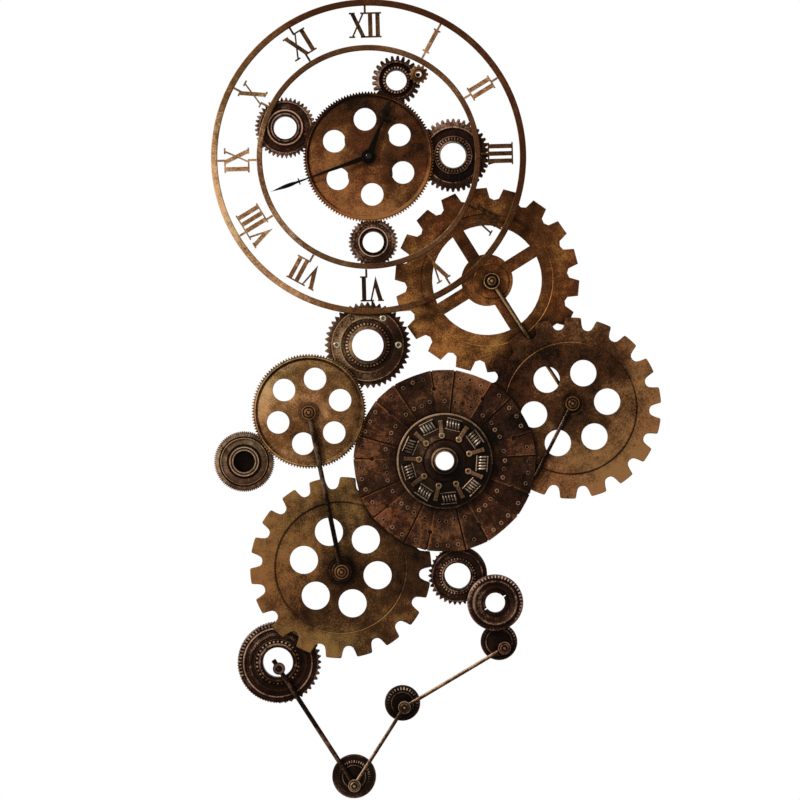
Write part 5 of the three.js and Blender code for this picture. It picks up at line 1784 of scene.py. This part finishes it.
@dataclass
class Movement:
    """The quartz movement and the hands."""

    leaves: tuple[Leaf, ...] = (
        Leaf("minute_hand", -160.1, 92.5, 129.0, 2.5),
        Leaf("hour_hand", 69.1, 52.0, 78.0, 4.4, scroll=(54.5, 4.6, 4.6, 2.4)),
    )

    def build(self) -> None:
        """Dress the hands, the shafts and the case."""
        worn = replace(OXIDE, name="black_oxide_edge", middle="#1c1510")
        polished = replace(OXIDE, name="black_oxide_polished", roughness=0.22, specular=0.5)
        for node, finish in (("hour_hand", OXIDE), ("minute_hand", OXIDE), ("hand_nut", polished)):
            CutPiece(node, finish, worn).build()
        for leaf in self.leaves:
            leaf.build(Seat.of("hand_nut"), OXIDE)
        inside = {"shaft_nut": BRASS, "hour_wheel": BRASS, "minute_arbor": BRASS, "movement_case": BLACK_ABS}
        inside |= {"movement_cover": BLACK_ABS, "setting_knob": IVORY, "battery_cell": SLEEVE}
        for node, finish in inside.items():
            CutPiece(node, finish, finish).build()


@dataclass
class Studio:
    """Camera, soft light, white surroundings and a pale floor."""

    look_x: float = 81.93
    look_z: float = -363.59
    dial_depth: float = 26.0
    distance: float = 3750.0
    lens: float = 135.0
    key_watts: float = 104.0
    key_size: float = 0.4
    key_place: tuple[float, float, float] = (-2.1, -1.8, 1.2)
    fill: float = 0.26
    floor_drop: float = 0.3
    floor_half: float = 1.3
    floor_colour: str = "#f0f0f0"
    floor_roughness: float = 0.8

    def build(self) -> None:
        """Set the camera, the lamp, the world and the floor."""
        scene = bpy.context.scene
        scene.view_settings.view_transform = "Standard"
        camera = bpy.data.objects.new("camera", bpy.data.cameras.new("camera"))
        camera.data.lens = self.lens
        camera.location = (self.look_x * MM, -(self.distance + self.dial_depth) * MM, self.look_z * MM)
        camera.rotation_euler = (math.pi / 2, 0, 0)
        scene.collection.objects.link(camera)
        scene.camera = camera
        lamp = bpy.data.lights.new("key", "AREA")
        lamp.energy = self.key_watts
        lamp.size = self.key_size
        key = bpy.data.objects.new("key", lamp)
        key.location = self.key_place
        way = np.array([self.look_x * MM, 0, self.look_z * MM]) - np.array(self.key_place)
        tilt = math.acos(-way[2] / np.linalg.norm(way))
        key.rotation_euler = (tilt, 0, math.atan2(way[1], way[0]) - math.pi / 2)
        scene.collection.objects.link(key)
        self.surround()
        self.floor()

    def surround(self) -> None:
        """A world that the camera and shiny metal see as white, and that lights the rest evenly."""
        world = bpy.data.worlds.new("white_studio")
        world.use_nodes = True
        bpy.context.scene.world = world
        tree = world.node_tree
        tree.nodes.clear()
        rays = add_node(tree, "ShaderNodeLightPath", {}).node.outputs
        seen = rays["Is Camera Ray"]
        for kind in ("Is Glossy Ray", "Is Transmission Ray"):
            seen = add_node(tree, "ShaderNodeMath", {0: seen, 1: rays[kind]}, operation="MAXIMUM")
        even, white = (add_node(tree, "ShaderNodeBackground", {"Color": (1, 1, 1, 1), "Strength": strength})
                       for strength in (self.fill, 1.0))
        mixed = add_node(tree, "ShaderNodeMixShader", {0: seen, 1: even, 2: white})
        add_node(tree, "ShaderNodeOutputWorld", {"Surface": mixed})

    def floor(self) -> None:
        """A pale floor below the clock, outside the camera's view."""
        level = float(cad_low[2]) - self.floor_drop
        corners = np.array([[-1, -1], [1, -1], [1, 1], [-1, 1]]) * self.floor_half
        mesh = bpy.data.meshes.new("floor")
        mesh.from_pydata(np.column_stack([corners, np.full(4, level)]).tolist(), [], [[0, 1, 2, 3]])
        paint = bpy.data.materials.new("pale_floor_paint")
        paint.use_nodes = True
        shader = paint.node_tree.nodes["Principled BSDF"]
        shader.inputs["Base Color"].default_value = linear(self.floor_colour)
        shader.inputs["Roughness"].default_value = self.floor_roughness
        mesh.materials.append(paint)
        floor = bpy.data.objects.new("floor", mesh)
        bpy.context.scene.collection.objects.link(floor)


def main() -> None:
    """Build the clock's looks in order."""
    logging.basicConfig(level=logging.INFO, format="%(name)s %(message)s")
    Studio().build()
    DialFace().build()
    GearTrain().build()
    RivetedDisc().build()
    Movement().build()


if __name__ == "__main__":
    main()
